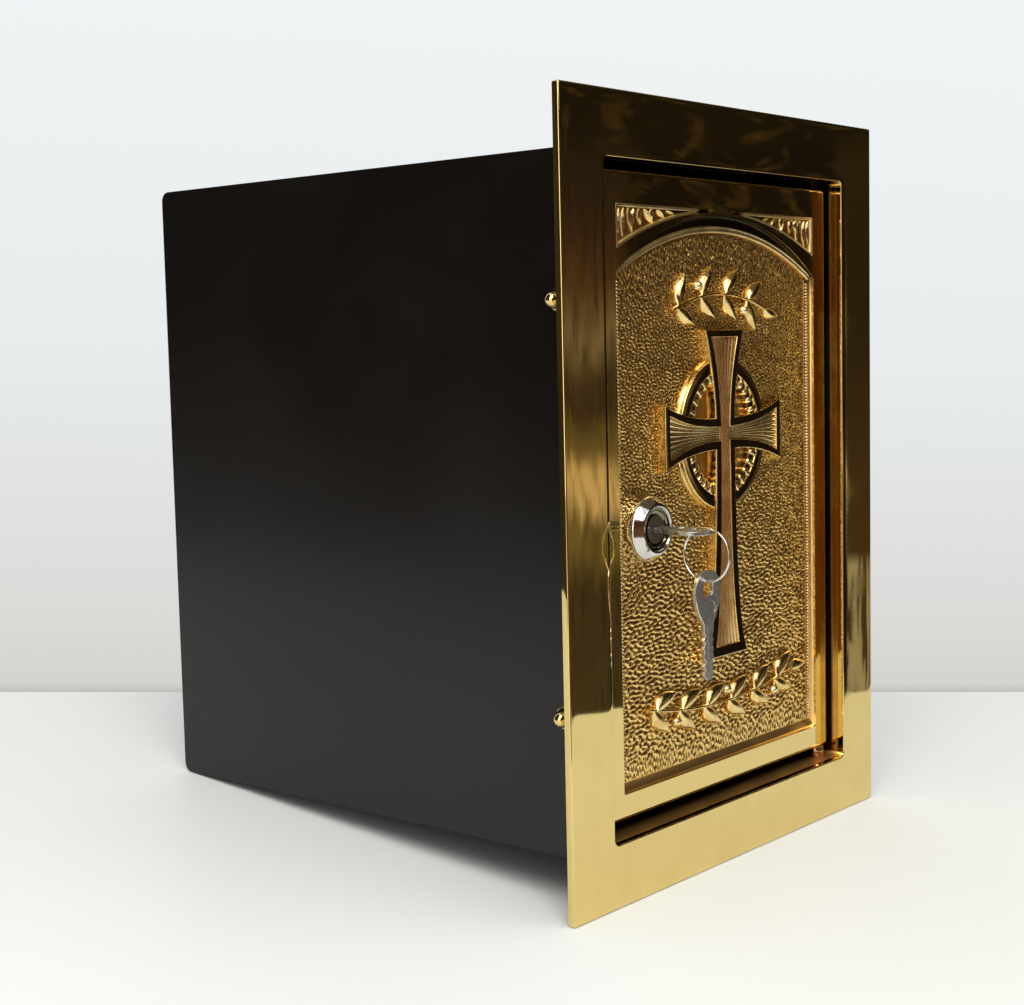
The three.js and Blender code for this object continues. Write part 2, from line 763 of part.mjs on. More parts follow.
// The panel and its relief are drawn round X 0, then set aside to leave the lock its wider border
function doorCasting() {
  const pinHoles = [doorTop, doorBottom].map((end) => {
    const reach = pinDepth + pinHoleSpare;
    const hole = rod(pinRadius + pinGap, end - reach, end + reach, coarseTurn);
    return solid(hole.rotateX(degrees(90)).translate(pivotX, pivotY, 0));
  });
  const lockHole = solid(rod(barrelRadius + lockHoleGap, doorFront, doorBack + 1).translate(lockX, 0, lockZ));
  const toPanel = (piece) => piece.translate([panelMiddle, 0, 0]);
  const body = cut(doorBlank(), [fieldPocket(), spandrelPocket(-1), spandrelPocket(1)].map(toPanel));
  const cross = joined([reliefRing(), ...ringTeeth(), ...crossArms.map(armBody)]);
  const fluted = joined([cut(cross, crossArms.map(armPocket)), ...crossArms.map(armFlutes)]);
  const ornament = [
    ...fieldBeads(),
    ...spandrelLeaves(-1),
    ...spandrelLeaves(1),
    ...sprig(upperSprig),
    ...sprig(lowerSprig),
  ];
  const relief = toPanel(joined([fluted, ...ornament]));
  return polishedBrass('door_casting', cut(joined([body, relief]), [...pinHoles, lockHole]));
}

function lockBody() {
  const rimTop = fieldFront - bezelRim;
  const face = fieldFront - bezelHeight;
  const bore = plugRadius + plugGap;
  const lip = bezelTopRadius - bezelLip;
  const profile = [
    [bore, barrelEnd],
    [barrelRadius, barrelEnd],
    [barrelRadius, fieldFront],
    [bezelRadius, fieldFront],
    [bezelRadius, rimTop],
    [bezelRadius - bezelEdge, rimTop - 2 * bezelEdge],
    [bezelTopRadius, face],
    [lip, face],
    [lip - bezelStep.slope, face + bezelStep.depth],
    [lip - bezelStep.slope - bezelStep.width, face + bezelStep.depth],
    [lip - 2 * bezelStep.slope - bezelStep.width, face + 2 * bezelStep.depth],
    [bore, face + 2 * bezelStep.depth],
  ];
  return chrome('lock_body', solid(sleeve(profile).translate(lockX, 0, lockZ)));
}

function lockWasher() {
  const bore = barrelRadius + lockHoleGap;
  const profile = [
    [bore, doorBack],
    [washerRadius, doorBack],
    [washerRadius, doorBack + washerThickness],
    [bore, doorBack + washerThickness],
  ];
  return zincSteel('lock_washer', solid(sleeve(profile).translate(lockX, 0, lockZ)));
}

function lockNut() {
  const front = doorBack + washerThickness;
  const hexagon = polygon(lockNutFlats, 6).map((point) => point.add(flat2(lockX, lockZ)));
  const bore = rod(barrelRadius + lockHoleGap, front - 1, front + lockNutThickness + 1);
  return zincSteel('lock_nut', cut(slab(hexagon, front, front + lockNutThickness), [
    solid(bore.translate(lockX, 0, lockZ)),
  ]));
}

function lockPlug() {
  const tailEnd = camBack - camGap;
  const slotX = keyBladeWidth / 2 + keywayGap;
  const slotZ = keyThickness / 2 + keywayGap;
  const tail = tailSize / 2;
  const threadEnd = camBack - camScrewDepth - camScrewSpare;
  const core = solid(rod(plugRadius, plugFront, barrelEnd));
  const square = block([-tail, tail], [barrelEnd - 1, tailEnd], [-tail, tail]);
  const keyway = block([-slotX, slotX], [plugFront - 1, bladeTip + keywayGap], [-slotZ, slotZ]);
  const thread = solid(rod(camScrewRadius + threadGap, threadEnd, camBack + 1, coarseTurn));
  const plug = cut(core.add(square), [keyway, thread]);
  return chrome('lock_plug', plug.translate([lockX, 0, lockZ]));
}

// The cam hangs down while the door is free, and turns to the left behind the collar
function lockCam() {
  const outline = [
    ...arc(0, 0, camRootRadius, 0, 180, 10),
    ...arc(0, camTipRadius - camReach, camTipRadius, 180, 360, 8),
  ];
  const hole = tailSize / 2 + threadGap;
  const cam = slab(outline, camFront, camBack).subtract(
    block([-hole, hole], [camFront - 1, camBack + 1], [-hole, hole]));
  return zincSteel('lock_cam', cam.translate([lockX, 0, lockZ]));
}

function camScrew() {
  const head = camBack + camScrewHeadHeight;
  const screw = solid(turned([
    [0, camBack - camScrewDepth],
    [camScrewRadius, camBack - camScrewDepth],
    [camScrewRadius, camBack],
    [camScrewHead, camBack],
    [camScrewHead, camBack + camScrewHeadHeight / 2],
    [camScrewHead * camScrewCrown, head],
    [0, head],
  ], coarseTurn));
  const half = screwSlot / 2;
  const slot = block([-camScrewHead, camScrewHead], [head - screwSlot, head + 1], [-half, half]);
  return zincSteel('cam_screw', screw.subtract(slot).translate([lockX, 0, lockZ]));
}

// A flat key, from the end of its bow at y = 0 to the tip of its blade
function keyOutline() {
  const side = keyBowWidth / 2;
  const blade = keyBladeWidth / 2;
  const end = keyBowLength + keyBladeLength;
  const shape = new THREE.Shape();
  shape.moveTo(-blade, keyBowLength);
  const shoulder = keyBowLength * bow.shoulder;
  const widest = keyBowLength * bow.widest;
  const turn = keyBowLength * bow.turn;
  shape.quadraticCurveTo(-side, shoulder, -side, widest);
  shape.bezierCurveTo(-side, turn, -side * bow.crown, 0, 0, 0);
  shape.bezierCurveTo(side * bow.crown, 0, side, turn, side, widest);
  shape.quadraticCurveTo(side, shoulder, blade, keyBowLength);
  const pitch = (keyBladeLength - bitStart - bitTip) / bitCount;
  [1, -1].forEach((edge) => {
    for (let i = 0; i < bitCount; i += 1) {
      const step = edge > 0 ? i : bitCount - 1 - i;
      const middle = keyBowLength + bitStart + pitch * (step + 0.5);
      const depth = bitDepth * (1 - bitVariation * (step % 3));
      shape.lineTo(edge * blade, middle - edge * pitch * bitMouth);
      shape.lineTo(edge * (blade - depth), middle - edge * pitch * bitFloor);
      shape.lineTo(edge * (blade - depth), middle + edge * pitch * bitFloor);
      shape.lineTo(edge * blade, middle + edge * pitch * bitMouth);
    }
    if (edge > 0) {
      shape.lineTo(blade, end - bladePoint);
      shape.lineTo(blade * bladePointWidth, end);
      shape.lineTo(-blade * bladePointWidth, end);
      shape.lineTo(-blade, end - bladePoint);
    }
  });
  const hole = new THREE.Path();
  hole.absarc(0, keyBridge + keyHoleRadius, keyHoleRadius, 0, 2 * Math.PI, true);
  shape.holes.push(hole);
  return shape;
}

function key(name) {
  const geometry = new THREE.ExtrudeGeometry(keyOutline(), {
    depth: keyThickness - 2 * keyEdge,
    bevelThickness: keyEdge,
    bevelSize: keyEdge,
    bevelOffset: -keyEdge,
    bevelSegments: 1,
    curveSegments: 7,
  });
  return finish(name, solid(geometry.translate(0, 0, keyEdge - keyThickness / 2)), 0x9b9da0, 0.3);
}

function keyRing() {
  const wire = new THREE.TorusGeometry(ringRadius, wireRadius, 7, 40).rotateY(degrees(90));
  return finish('key_ring', solid(wire), 0xb9b6b4, 0.2);
}

function pivotPin(name, end, side) {
  const outer = (side * collarHeight) / 2;
  const inner = end - side * pinDepth;
  const pin = rod(pinRadius, Math.min(inner, outer), Math.max(inner, outer), coarseTurn);
  return copperBrass(name, solid(pin.rotateX(degrees(90)).translate(pivotX, pivotY, 0)));
}

// The door stands on this bush
function pivotBush() {
  const low = -openingHeight / 2;
  const high = doorBottom - bushGap;
  const bore = pinRadius + pinGap;
  const bush = sleeve([[bore, low], [bushRadius, low], [bushRadius, high], [bore, high]], 24);
  return copperBrass('pivot_bush_lower', solid(bush.rotateX(degrees(90)).translate(pivotX, pivotY, 0)));
}

// An angle soldered inside the collar's left wall, behind the door's free edge
function doorStop() {
  const wall = -openingWidth / 2;
  const front = doorBack + stopGap;
  const outline = [
    flat2(wall, front),
    flat2(wall + stopReach, front),
    flat2(wall + stopReach, front + stopSheet),
    flat2(wall + stopSheet, front + stopSheet),
    flat2(wall + stopSheet, collarDepth),
    flat2(wall, collarDepth),
  ];
  const rings = [-1, 1].map((side) => outline.map((point) =>
    new THREE.Vector3(point.x, point.y, stopMiddle + (side * stopHeight) / 2)));
  return polishedBrass('door_stop', solid(loft(rings)));
}

const ambry = new THREE.Group();
ambry.add(facePlate(), openingCollar(), boxWrap());
ambry.add(boxSide('box_side_left', -1), boxSide('box_side_right', 1));
[['left', -1], ['right', 1]].forEach(([hand, side]) => {
  [['lower', -1], ['upper', 1]].forEach(([place, level]) => {
    const fastening = new THREE.Group();
    fastening.add(boxStud(`box_stud_${place}_${hand}`), capNut(`cap_nut_${place}_${hand}`));
    fastening.position.set(0, studSetback, level * studHeight);
    fastening.rotation.z = degrees(-90 * side);
    ambry.add(fastening);
  });
});
ambry.add(
  doorStop(),
  pivotPin('pivot_pin_upper', doorTop, 1),
  pivotPin('pivot_pin_lower', doorBottom, -1),
  pivotBush(),
  doorCasting(),
  lockBody(),
  lockWasher(),
  lockNut(),
  lockPlug(),
  lockCam(),
  camScrew(),
);

// One key is in the lock. The ring hangs from its bow, and the spare key hangs from the ring
const keyInserted = key('key_inserted');
keyInserted.position.set(lockX, -keyShoulder - keyBowLength, lockZ);
const ring = keyRing();
ring.position.set(lockX, ringY, ringZ);
const keySpare = key('key_spare');
keySpare.position.set(lockX, ringY, ringLow + wireRadius + wireGap + keyBridge);
keySpare.rotation.x = degrees(-90);
ambry.add(keyInserted, ring, keySpare);

export default ambry;
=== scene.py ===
# Looks of the wall ambry: brass plate and cast door, dark steel box, cam lock and keys.
# Sizes are millimetres until a mesh is made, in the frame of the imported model.
import math

import bmesh
import bpy
import numpy as np
from mathutils import Euler, Matrix, Vector
from mathutils.geometry import tessellate_polygon


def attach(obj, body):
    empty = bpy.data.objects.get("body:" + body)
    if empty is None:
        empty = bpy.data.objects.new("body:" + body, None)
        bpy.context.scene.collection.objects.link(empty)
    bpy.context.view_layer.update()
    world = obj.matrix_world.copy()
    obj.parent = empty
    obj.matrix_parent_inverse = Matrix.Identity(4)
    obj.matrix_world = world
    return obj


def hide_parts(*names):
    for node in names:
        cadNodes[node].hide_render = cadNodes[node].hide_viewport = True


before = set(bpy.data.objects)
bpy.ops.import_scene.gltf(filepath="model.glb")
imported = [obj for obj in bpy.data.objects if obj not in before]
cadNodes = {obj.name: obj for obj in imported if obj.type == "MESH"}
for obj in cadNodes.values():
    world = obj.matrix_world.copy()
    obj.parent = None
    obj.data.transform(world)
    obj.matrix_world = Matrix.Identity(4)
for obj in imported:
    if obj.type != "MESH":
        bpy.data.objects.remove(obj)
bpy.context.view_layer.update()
mm = 0.001
scene = bpy.context.scene
print("frame loaded")


# outlines are arrays of [x, z], rings are arrays of [x, y, z]
def arcPoints(cx, cz, radius, start, end, steps):
    angles = np.radians(np.linspace(start, end, steps + 1))
    return np.stack([cx + radius * np.cos(angles), cz + radius * np.sin(angles)], 1)


def roundedRect(width, height, radius, middle=0.0, steps=6, along=1, up=1):
    runs = []
    for quarter, (x, z) in enumerate([(1, -1), (1, 1), (-1, 1), (-1, -1)]):
        runs.append(arcPoints(x * (width / 2 - radius), middle + z * (height / 2 - radius),
                              radius, (quarter - 1) * 90, quarter * 90, steps))
    points = []
    for quarter in range(4):
        points.extend(runs[quarter])
        parts = along if quarter % 2 else up
        a, b = runs[quarter][-1], runs[(quarter + 1) % 4][0]
        points.extend(a + (b - a) * k / parts for k in range(1, parts))
    return np.array(points)


# moved inwards by a distance, with mitred corners
def offset(points, distance):
    ahead = np.roll(points, -1, 0)
    before = points - np.roll(points, 1, 0)
    after = ahead - points
    area = (points[:, 0] * ahead[:, 1] - ahead[:, 0] * points[:, 1]).sum()
    before /= np.linalg.norm(before, axis=1)[:, None]
    after /= np.linalg.norm(after, axis=1)[:, None]
    mitre = np.stack([-before[:, 1] - after[:, 1], before[:, 0] + after[:, 0]], 1)
    push = np.sign(area) * distance * 2 / (mitre ** 2).sum(1)
    return points + mitre * push[:, None]


def atY(points, y):
    return np.stack([points[:, 0], np.broadcast_to(y, len(points)), points[:, 1]], 1)


# one ring for each (inwards, y) of a profile
def profiled(points, profile):
    return [atY(offset(points, inwards), y) for inwards, y in profile]


# part of a profile: a quarter round, as (inwards, y) at each angle
def roundOver(radius, front, angles):
    return [(radius * (1 - math.cos(a)), front + radius * (1 - math.sin(a))) for a in np.radians(angles)]


# walls between rings of equal count, with flat ends or closed on themselves
def loftRings(rings, wrap=False, ends=True):
    count, total = len(rings[0]), len(rings)
    faces = []
    for layer in range(total if wrap else total - 1):
        low, high = layer * count, (layer + 1) % total * count
        for i in range(count):
            j = (i + 1) % count
            faces.append((low + i, low + j, high + j, high + i))
    if ends and not wrap:
        faces.append(tuple(reversed(range(count))))
        faces.append(tuple(range((total - 1) * count, total * count)))
    return np.concatenate(rings), faces


# a profile of [radius, distance] turned about an axis through the centre
def turnedRings(profile, steps, axis="Y", centre=(0, 0, 0)):
    angles = np.linspace(0, 2 * math.pi, steps, endpoint=False)
    rings = []
    for radius, along in profile:
        a, b, level = radius * np.cos(angles), radius * np.sin(angles), np.full(steps, along)
        rings.append(np.stack([a, level, b] if axis == "Y" else [a, b, level], 1) + centre)
    return rings


def newObject(name, mesh, finish):
    obj = bpy.data.objects.new(name, mesh)
    scene.collection.objects.link(obj)
    mesh.materials.append(finish)
    return obj


def meshFrom(name, verts, faces):
    mesh = bpy.data.meshes.new(name)
    mesh.from_pydata((np.asarray(verts, float) * mm).tolist(), [], [tuple(map(int, f)) for f in faces])
    return mesh


def meshOf(name, edit):
    mesh = bpy.data.meshes.new(name)
    edit.to_mesh(mesh)
    edit.free()
    return mesh


# several (verts, faces) pairs as one mesh, doubles merged and faces turned outwards
def joinedMesh(name, parts, merge=1e-6):
    faces, start = [], 0
    for v, f in parts:
        faces.extend(tuple(i + start for i in face) for face in f)
        start += len(v)
    mesh = meshFrom(name, np.concatenate([np.asarray(v, float) for v, _ in parts]), faces)
    edit = bmesh.new()
    edit.from_mesh(mesh)
    bmesh.ops.remove_doubles(edit, verts=edit.verts, dist=merge)
    bmesh.ops.dissolve_degenerate(edit, edges=edit.edges, dist=1e-7)
    bmesh.ops.recalc_face_normals(edit, faces=edit.faces)
    edit.to_mesh(mesh)
    edit.free()
    return mesh


def setAll(thing, settings):
    for key, value in settings.items():
        setattr(thing, key, value)
    return thing


# modifiers become plain mesh
def settle(obj):
    graph = bpy.context.evaluated_depsgraph_get()
    ready = obj.evaluated_get(graph)
    mesh = bpy.data.meshes.new_from_object(ready, preserve_all_data_layers=True, depsgraph=graph)
    obj.modifiers.clear()
    obj.data = mesh
    return obj


def addModifier(obj, kind, **settings):
    setAll(obj.modifiers.new(kind.lower(), kind), settings)
    return obj


def smooth(obj, angle=35, even=False):
    for face in obj.data.polygons:
        face.use_smooth = True
    obj.data.set_sharp_from_angle(angle=math.radians(angle))
    return settle(addModifier(obj, "WEIGHTED_NORMAL", keep_sharp=True)) if even else obj


def softEdges(obj, width):
    return settle(addModifier(obj, "BEVEL", width=width * mm, segments=2, limit_method="ANGLE",
                              angle_limit=math.radians(30), use_clamp_overlap=True))


def cutWith(obj, cutters):
    for cutter in cutters:
        addModifier(obj, "BOOLEAN", operation="DIFFERENCE", solver="EXACT", object=cutter)
    settle(obj)
    for cutter in cutters:
        bpy.data.objects.remove(cutter)
    return obj


def ridesOn(obj, body, slot, *nodes):
    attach(obj, body)
    if nodes:
        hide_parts(*nodes)
    return obj


def pieceFrom(name, parts, finish, angle, even=False, merge=1e-6):
    return smooth(newObject(name, joinedMesh(name, parts, merge), finish), angle, even)


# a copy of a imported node, merged, with its edges softened
def dressed(node, finish, body, slot, edge, prepare=None):
    words = node.split("_")
    name = words[0] + "".join(word.title() for word in words[1:])
    edit = bmesh.new()
    edit.from_mesh(cadNodes[node].data)
    bmesh.ops.remove_doubles(edit, verts=edit.verts, dist=2e-6)
    bmesh.ops.dissolve_limit(edit, angle_limit=math.radians(0.4), verts=edit.verts, edges=edit.edges)
    mesh = meshOf(name, edit)
    if "custom_normal" in mesh.attributes:
        mesh.attributes.remove(mesh.attributes["custom_normal"])
    obj = newObject(name, mesh, finish)
    if prepare:
        prepare(obj)
    return ridesOn(smooth(softEdges(obj, edge), even=True), body, slot, node)


# inputs by name or number: another node's socket, a value, or a colour of three numbers
def feed(tree, node, inputs):
    for key, value in inputs.items():
        socket = node.inputs[key]
        if isinstance(value, bpy.types.NodeSocket):
            tree.links.new(value, socket)
        else:
            socket.default_value = (*value, 1.0) if socket.type == "RGBA" else value
    return node


def newNode(tree, kind, inputs=None, **settings):
    return feed(tree, setAll(tree.nodes.new(kind), settings), inputs or {})


def nodeOut(tree, kind, inputs=None, **settings):
    return newNode(tree, kind, inputs, **settings).outputs[0]


def maths(tree, operation, a, b=0.0, c=0.0, clamp=False):
    return nodeOut(tree, "ShaderNodeMath", {0: a, 1: b, 2: c}, operation=operation, use_clamp=clamp)


def times(tree, a, b):
    return maths(tree, "MULTIPLY", a, b)


def vectorMaths(tree, operation, a, b, output="Vector"):
    return newNode(tree, "ShaderNodeVectorMath", {0: a, 1: b}, operation=operation).outputs[output]


def scaledBy(tree, vector, factor):
    return nodeOut(tree, "ShaderNodeVectorMath", {0: vector, "Scale": factor}, operation="SCALE")


def between(tree, value, low, high, toLow=0.0, toHigh=1.0):
    ends = {"Value": value, "From Min": low, "From Max": high, "To Min": toLow, "To Max": toHigh}
    return nodeOut(tree, "ShaderNodeMapRange", ends, interpolation_type="SMOOTHSTEP")


def mixed(tree, share, a, b, blend="MIX"):
    both = {0: share, 6: a, 7: b}
    return newNode(tree, "ShaderNodeMix", both, data_type="RGBA", blend_type=blend).outputs[2]


def noise(tree, place, scale, detail, **more):
    return nodeOut(tree, "ShaderNodeTexNoise", {"Vector": place, "Scale": scale, "Detail": detail, **more})


def parted(tree, place):
    return newNode(tree, "ShaderNodeSeparateXYZ", {0: place}).outputs


# a node tree: an input is given by its first value, or by its kind of socket where it has none
def newTree(name, family, inputs, outputs):
    tree = bpy.data.node_groups.new(name, family + "NodeTree")
    for label, value in inputs.items():
        kind = value if isinstance(value, str) else {float: "Float", int: "Int", tuple: "Vector"}[type(value)]
        socket = tree.interface.new_socket(label, in_out="INPUT", socket_type="NodeSocket" + kind)
        if kind != value:
            socket.default_value = value
    for label, kind in outputs.items():
        tree.interface.new_socket(label, in_out="OUTPUT", socket_type="NodeSocket" + kind)
    return tree, tree.nodes.new("NodeGroupInput").outputs, tree.nodes.new("NodeGroupOutput")


# slow waves left by the buffing wheel, and fine scratches along one way
def buffMarksGroup():
    tree, given, result = newTree("buffMarks", "Shader", {
        "Place": "Vector", "Waves": 30.0, "Scratches": 900.0, "Scratch Share": 0.25, "Haze Scale": 55.0},
        {"Height": "Float", "Haze": "Float"})
    place = given["Place"]
    stretched = vectorMaths(tree, "MULTIPLY", place, (1.0, 1.0, 0.06))
    scratches = times(tree, noise(tree, stretched, given["Scratches"], 2.0), given["Scratch Share"])
    haze = noise(tree, place, given["Haze Scale"], 5.0, Roughness=0.65)
    feed(tree, result, {"Height": maths(tree, "ADD", noise(tree, place, given["Waves"], 1.0), scratches),
                        "Haze": between(tree, haze, 0.4, 0.72)})
    return tree


# a mask that grows with depth behind the front, broken up by a mottle
def sunkToneGroup():
    tree, given, result = newTree("sunkTone", "Shader", {
        "Place": "Vector", "High": 0.004, "Low": 0.0075, "Mottle": 0.3, "Mottle Scale": 260.0},
        {"Mask": "Float"})
    depth = between(tree, parted(tree, given["Place"])[1], given["High"], given["Low"])
    centred = maths(tree, "SUBTRACT", noise(tree, given["Place"], given["Mottle Scale"], 4.0), 0.5)
    swing = times(tree, centred, given["Mottle"])
    feed(tree, result, {"Mask": maths(tree, "ADD", depth, swing, clamp=True)})
    return tree


# fine grain of cast, painted or plated metal
def grainGroup():
    tree, given, result = newTree("metalGrain", "Shader", {"Place": "Vector", "Grain": 1800.0, "Patch": 90.0},
                                  {"Height": "Float", "Patch": "Float"})
    patch = noise(tree, given["Place"], given["Patch"], 4.0)
    feed(tree, result, {"Height": noise(tree, given["Place"], given["Grain"], 3.0),
                        "Patch": between(tree, patch, 0.38, 0.68)})
    return tree


buffMarks, sunkTone, metalGrain = buffMarksGroup(), sunkToneGroup(), grainGroup()


def newFinish(name, metallic=1.0, specular=0.5):
    finish = bpy.data.materials.new(name)
    finish.use_nodes = True
    tree = finish.node_tree
    shader = next(n for n in tree.nodes if n.type == "BSDF_PRINCIPLED")
    feed(tree, shader, {"Metallic": metallic, "Specular IOR Level": specular})
    return finish, tree, shader, tree.nodes.new("ShaderNodeTexCoord").outputs["Object"]


def useGroup(tree, group, inputs):
    return newNode(tree, "ShaderNodeGroup", inputs, node_tree=group).outputs


def surface(tree, shader, tone, gloss, height, depth):
    bump = nodeOut(tree, "ShaderNodeBump", {"Height": height, "Distance": depth, "Strength": 1.0})
    feed(tree, shader, {"Base Color": tone, "Roughness": gloss, "Normal": bump})


# polished brass: warm yellow, nearly a mirror, with haze from wiping; sunk paints shade into its deep parts,
# with a second painted tone and depth below the higher level, where it can be painted light instead
polishLook = {"bright": (0.80, 0.62, 0.25), "worn": (0.77, 0.59, 0.23), "gloss": 0.03, "haze": 0.075}


def polishedBrass(name, waves=26.0, wave=0.00009, look=polishLook, sunk=None):
    finish, tree, shader, place = newFinish(name)
    marks = useGroup(tree, buffMarks, {"Place": place, "Waves": waves, "Scratches": 700.0,
                                       "Scratch Share": 0.012})
    tone = mixed(tree, marks["Haze"], look["bright"], look["worn"])
    gloss = between(tree, marks["Haze"], 0.0, 1.0, look["gloss"], look["haze"])
    if sunk:
        _, depth, level = parted(tree, place)
        below = between(tree, level, sunk["level"][1], sunk["level"][0])
        tone = mixed(tree, below, tone, sunk["lowTone"])
        gloss = maths(tree, "MULTIPLY_ADD", below, sunk["lowGloss"], gloss)
        near, far = (mixed(tree, below, (a, a, a), (b, b, b))
                     for a, b in zip(sunk["depth"], sunk["lowDepth"]))
        # painted shade by depth: deeper faces take the painted tone, dark above the level and the low painted
        # tone below it
        dark = nodeOut(tree, "ShaderNodeMapRange", {0: depth, 1: near, 2: far})
        dark = times(tree, dark, between(tree, depth, sunk["until"] + 0.0008, sunk["until"]))
        tone = mixed(tree, dark, tone, mixed(tree, below, sunk["tone"], sunk["lowSunk"]))
        gloss = maths(tree, "MULTIPLY_ADD", dark, 0.25, gloss)
    surface(tree, shader, tone, gloss, marks["Height"], wave)
    return finish


# relief of the casting: bright on top, brown towards its foot
def reliefBrass(name, top, foot, high, low, glossTop, glossFoot, mottle=0.35):
    finish, tree, shader, place = newFinish(name)
    mask = useGroup(tree, sunkTone, {"Place": place, "High": high, "Low": low, "Mottle": mottle})["Mask"]
    fine = useGroup(tree, metalGrain, {"Place": place, "Grain": 1500.0, "Patch": 140.0})
    warm = mixed(tree, fine["Patch"], top, (top[0] * 0.8, top[1] * 0.72, top[2] * 0.6))
    gloss = between(tree, mask, 0.0, 1.0, glossTop, glossFoot)
    surface(tree, shader, mixed(tree, mask, warm, foot), gloss, fine["Height"], 0.00003)
    return finish


# the field: its own relief attribute tells crest from valley, and its upper part gets lighter tones, painted
# light
fieldLook = {"crest": (1.0, 0.71, 0.26), "flank": (0.80, 0.50, 0.14), "valley": (0.14, 0.065, 0.016),
             "upperLitFlank": (1.0, 0.64, 0.21), "upperLitValley": (0.32, 0.17, 0.05), "dull": (0.42, 0.25, 0.08),
             "brightens": (-0.01, 0.07)}


def fieldBrass():
    finish, tree, shader, place = newFinish("castField")
    relief = newNode(tree, "ShaderNodeAttribute", attribute_name="relief").outputs["Fac"]
    fine = useGroup(tree, metalGrain, {"Place": place, "Grain": 1600.0, "Patch": 45.0})
    # painted light: valley and flank tones grow lighter towards the top of the field
    paintedLightAbove = between(tree, parted(tree, place)[2], *fieldLook["brightens"])
    valley, flank = (mixed(tree, paintedLightAbove, fieldLook[lower], fieldLook[upper])
                     for lower, upper in (("valley", "upperLitValley"), ("flank", "upperLitFlank")))
    tone = mixed(tree, between(tree, relief, 0.05, 0.5), valley, flank)
    tone = mixed(tree, between(tree, relief, 0.45, 0.95), tone, fieldLook["crest"])
    tone = mixed(tree, times(tree, fine["Patch"], 0.2), tone, fieldLook["dull"])
    surface(tree, shader, tone, between(tree, relief, 0.1, 0.9, 0.38, 0.26), fine["Height"], 0.00004)
    return finish


# core: a round part of the piece, about the lock's axis, painted a dark olive tone that stands in for a dark
# reflection
def plainMetal(name, tone, dark, gloss, dull, grain=1500.0, depth=0.00002, metallic=1.0, specular=0.5,
               patch=90.0, core=None):
    finish, tree, shader, place = newFinish(name, metallic, specular)
    fine = useGroup(tree, metalGrain, {"Place": place, "Grain": grain, "Patch": patch})
    shown = mixed(tree, fine["Patch"], tone, dark)
    if core:
        flat = vectorMaths(tree, "MULTIPLY", place, (1, 0, 1))
        away = vectorMaths(tree, "DISTANCE", flat, core["centre"], "Value")
        shown = mixed(tree, between(tree, away, core["radius"], core["radius"] - 0.0004), shown, core["tone"])
    surface(tree, shader, shown, between(tree, fine["Patch"], 0.0, 1.0, gloss, dull), fine["Height"], depth)
    return finish


# polished pieces; depths and levels in metres
# door: painted shade turns faces behind the front near-black above the level (pocket walls, cove, door edges,
# the black gap); below it the deep cove gets a pale gold painted light
doorPaintedShading = {"depth": (0.00455, 0.0049), "until": 0.0088, "tone": (0.035, 0.022, 0.009),
            "level": (0.075, 0.09), "lowTone": polishLook["bright"], "lowGloss": 0.0,
            "lowDepth": (0.0048, 0.0056), "lowSunk": (1.0, 0.68, 0.28)}
liningLook = {"bright": (0.66, 0.42, 0.14), "worn": (0.56, 0.34, 0.11), "gloss": 0.11, "haze": 0.19}
# lining: painted shade turns the collar's walls near-black behind the door's front, the black gap; the sill
# below the level gets a lighter painted light tone at its front and painted shade deeper in
liningPaintedShading = {"depth": (0.0022, 0.0036), "until": 0.03, "tone": (0.035, 0.02, 0.009),
              "level": (-0.1274, -0.1256), "lowTone": (0.88, 0.55, 0.19), "lowGloss": 0.26,
              "lowDepth": (0.0, 0.0115), "lowSunk": (0.02, 0.012, 0.005)}
plateBrass = polishedBrass("plateBrass")
doorBrass = polishedBrass("doorBrass", waves=34.0, wave=0.00008, sunk=doorPaintedShading)
liningBrass = polishedBrass("liningBrass", look=liningLook, sunk=liningPaintedShading)

# the casting: top tone, foot tone, the depths where one turns into the other, their roughness, and the mottle
castingLooks = {
    "ornamentBrass": ((0.88, 0.68, 0.30), (0.34, 0.18, 0.05), 0.0056, 0.0078, 0.16, 0.4),
    "pearlBrass": ((0.95, 0.78, 0.42), (0.30, 0.16, 0.05), 0.0060, 0.0076, 0.2, 0.45),
    # gapShadeBrass: near-black, painted shade for the deep gaps between the ring's teeth
    "gapShadeBrass": ((0.10, 0.055, 0.02), (0.05, 0.025, 0.01), 0.0060, 0.0080, 0.3, 0.5),
    "crossBrass": ((0.80, 0.61, 0.26), (0.62, 0.40, 0.14), 0.0050, 0.0078, 0.04, 0.16, 0.1),
    "fluteBrass": ((0.95, 0.77, 0.40), (0.48, 0.32, 0.12), 0.0041, 0.0049, 0.26, 0.4, 0.08),
    "fluteCopper": ((1.0, 0.70, 0.33), (0.56, 0.33, 0.12), 0.0041, 0.0049, 0.26, 0.4, 0.08),
    "leafBrass": ((0.86, 0.68, 0.33), (0.42, 0.25, 0.08), 0.0048, 0.0063, 0.18, 0.42),
    "floorBrass": ((0.50, 0.31, 0.10), (0.36, 0.21, 0.06), 0.0058, 0.0064, 0.36, 0.42, 0.6),
    # paintedHighlightBrass: a paler, brighter brass than the other castings, painted highlight on the arch
    # bead, pocket edges and olives
    "paintedHighlightBrass": ((1.0, 0.82, 0.45), (0.50, 0.30, 0.10), 0.0060, 0.0072, 0.36, 0.46, 0.15)}
castField = fieldBrass()
ornamentBrass, pearlBrass, gapShadeBrass, crossBrass, fluteBrass, fluteCopper, leafBrass, floorBrass, paintedHighlightBrass = (
    reliefBrass(name, *look) for name, look in castingLooks.items())

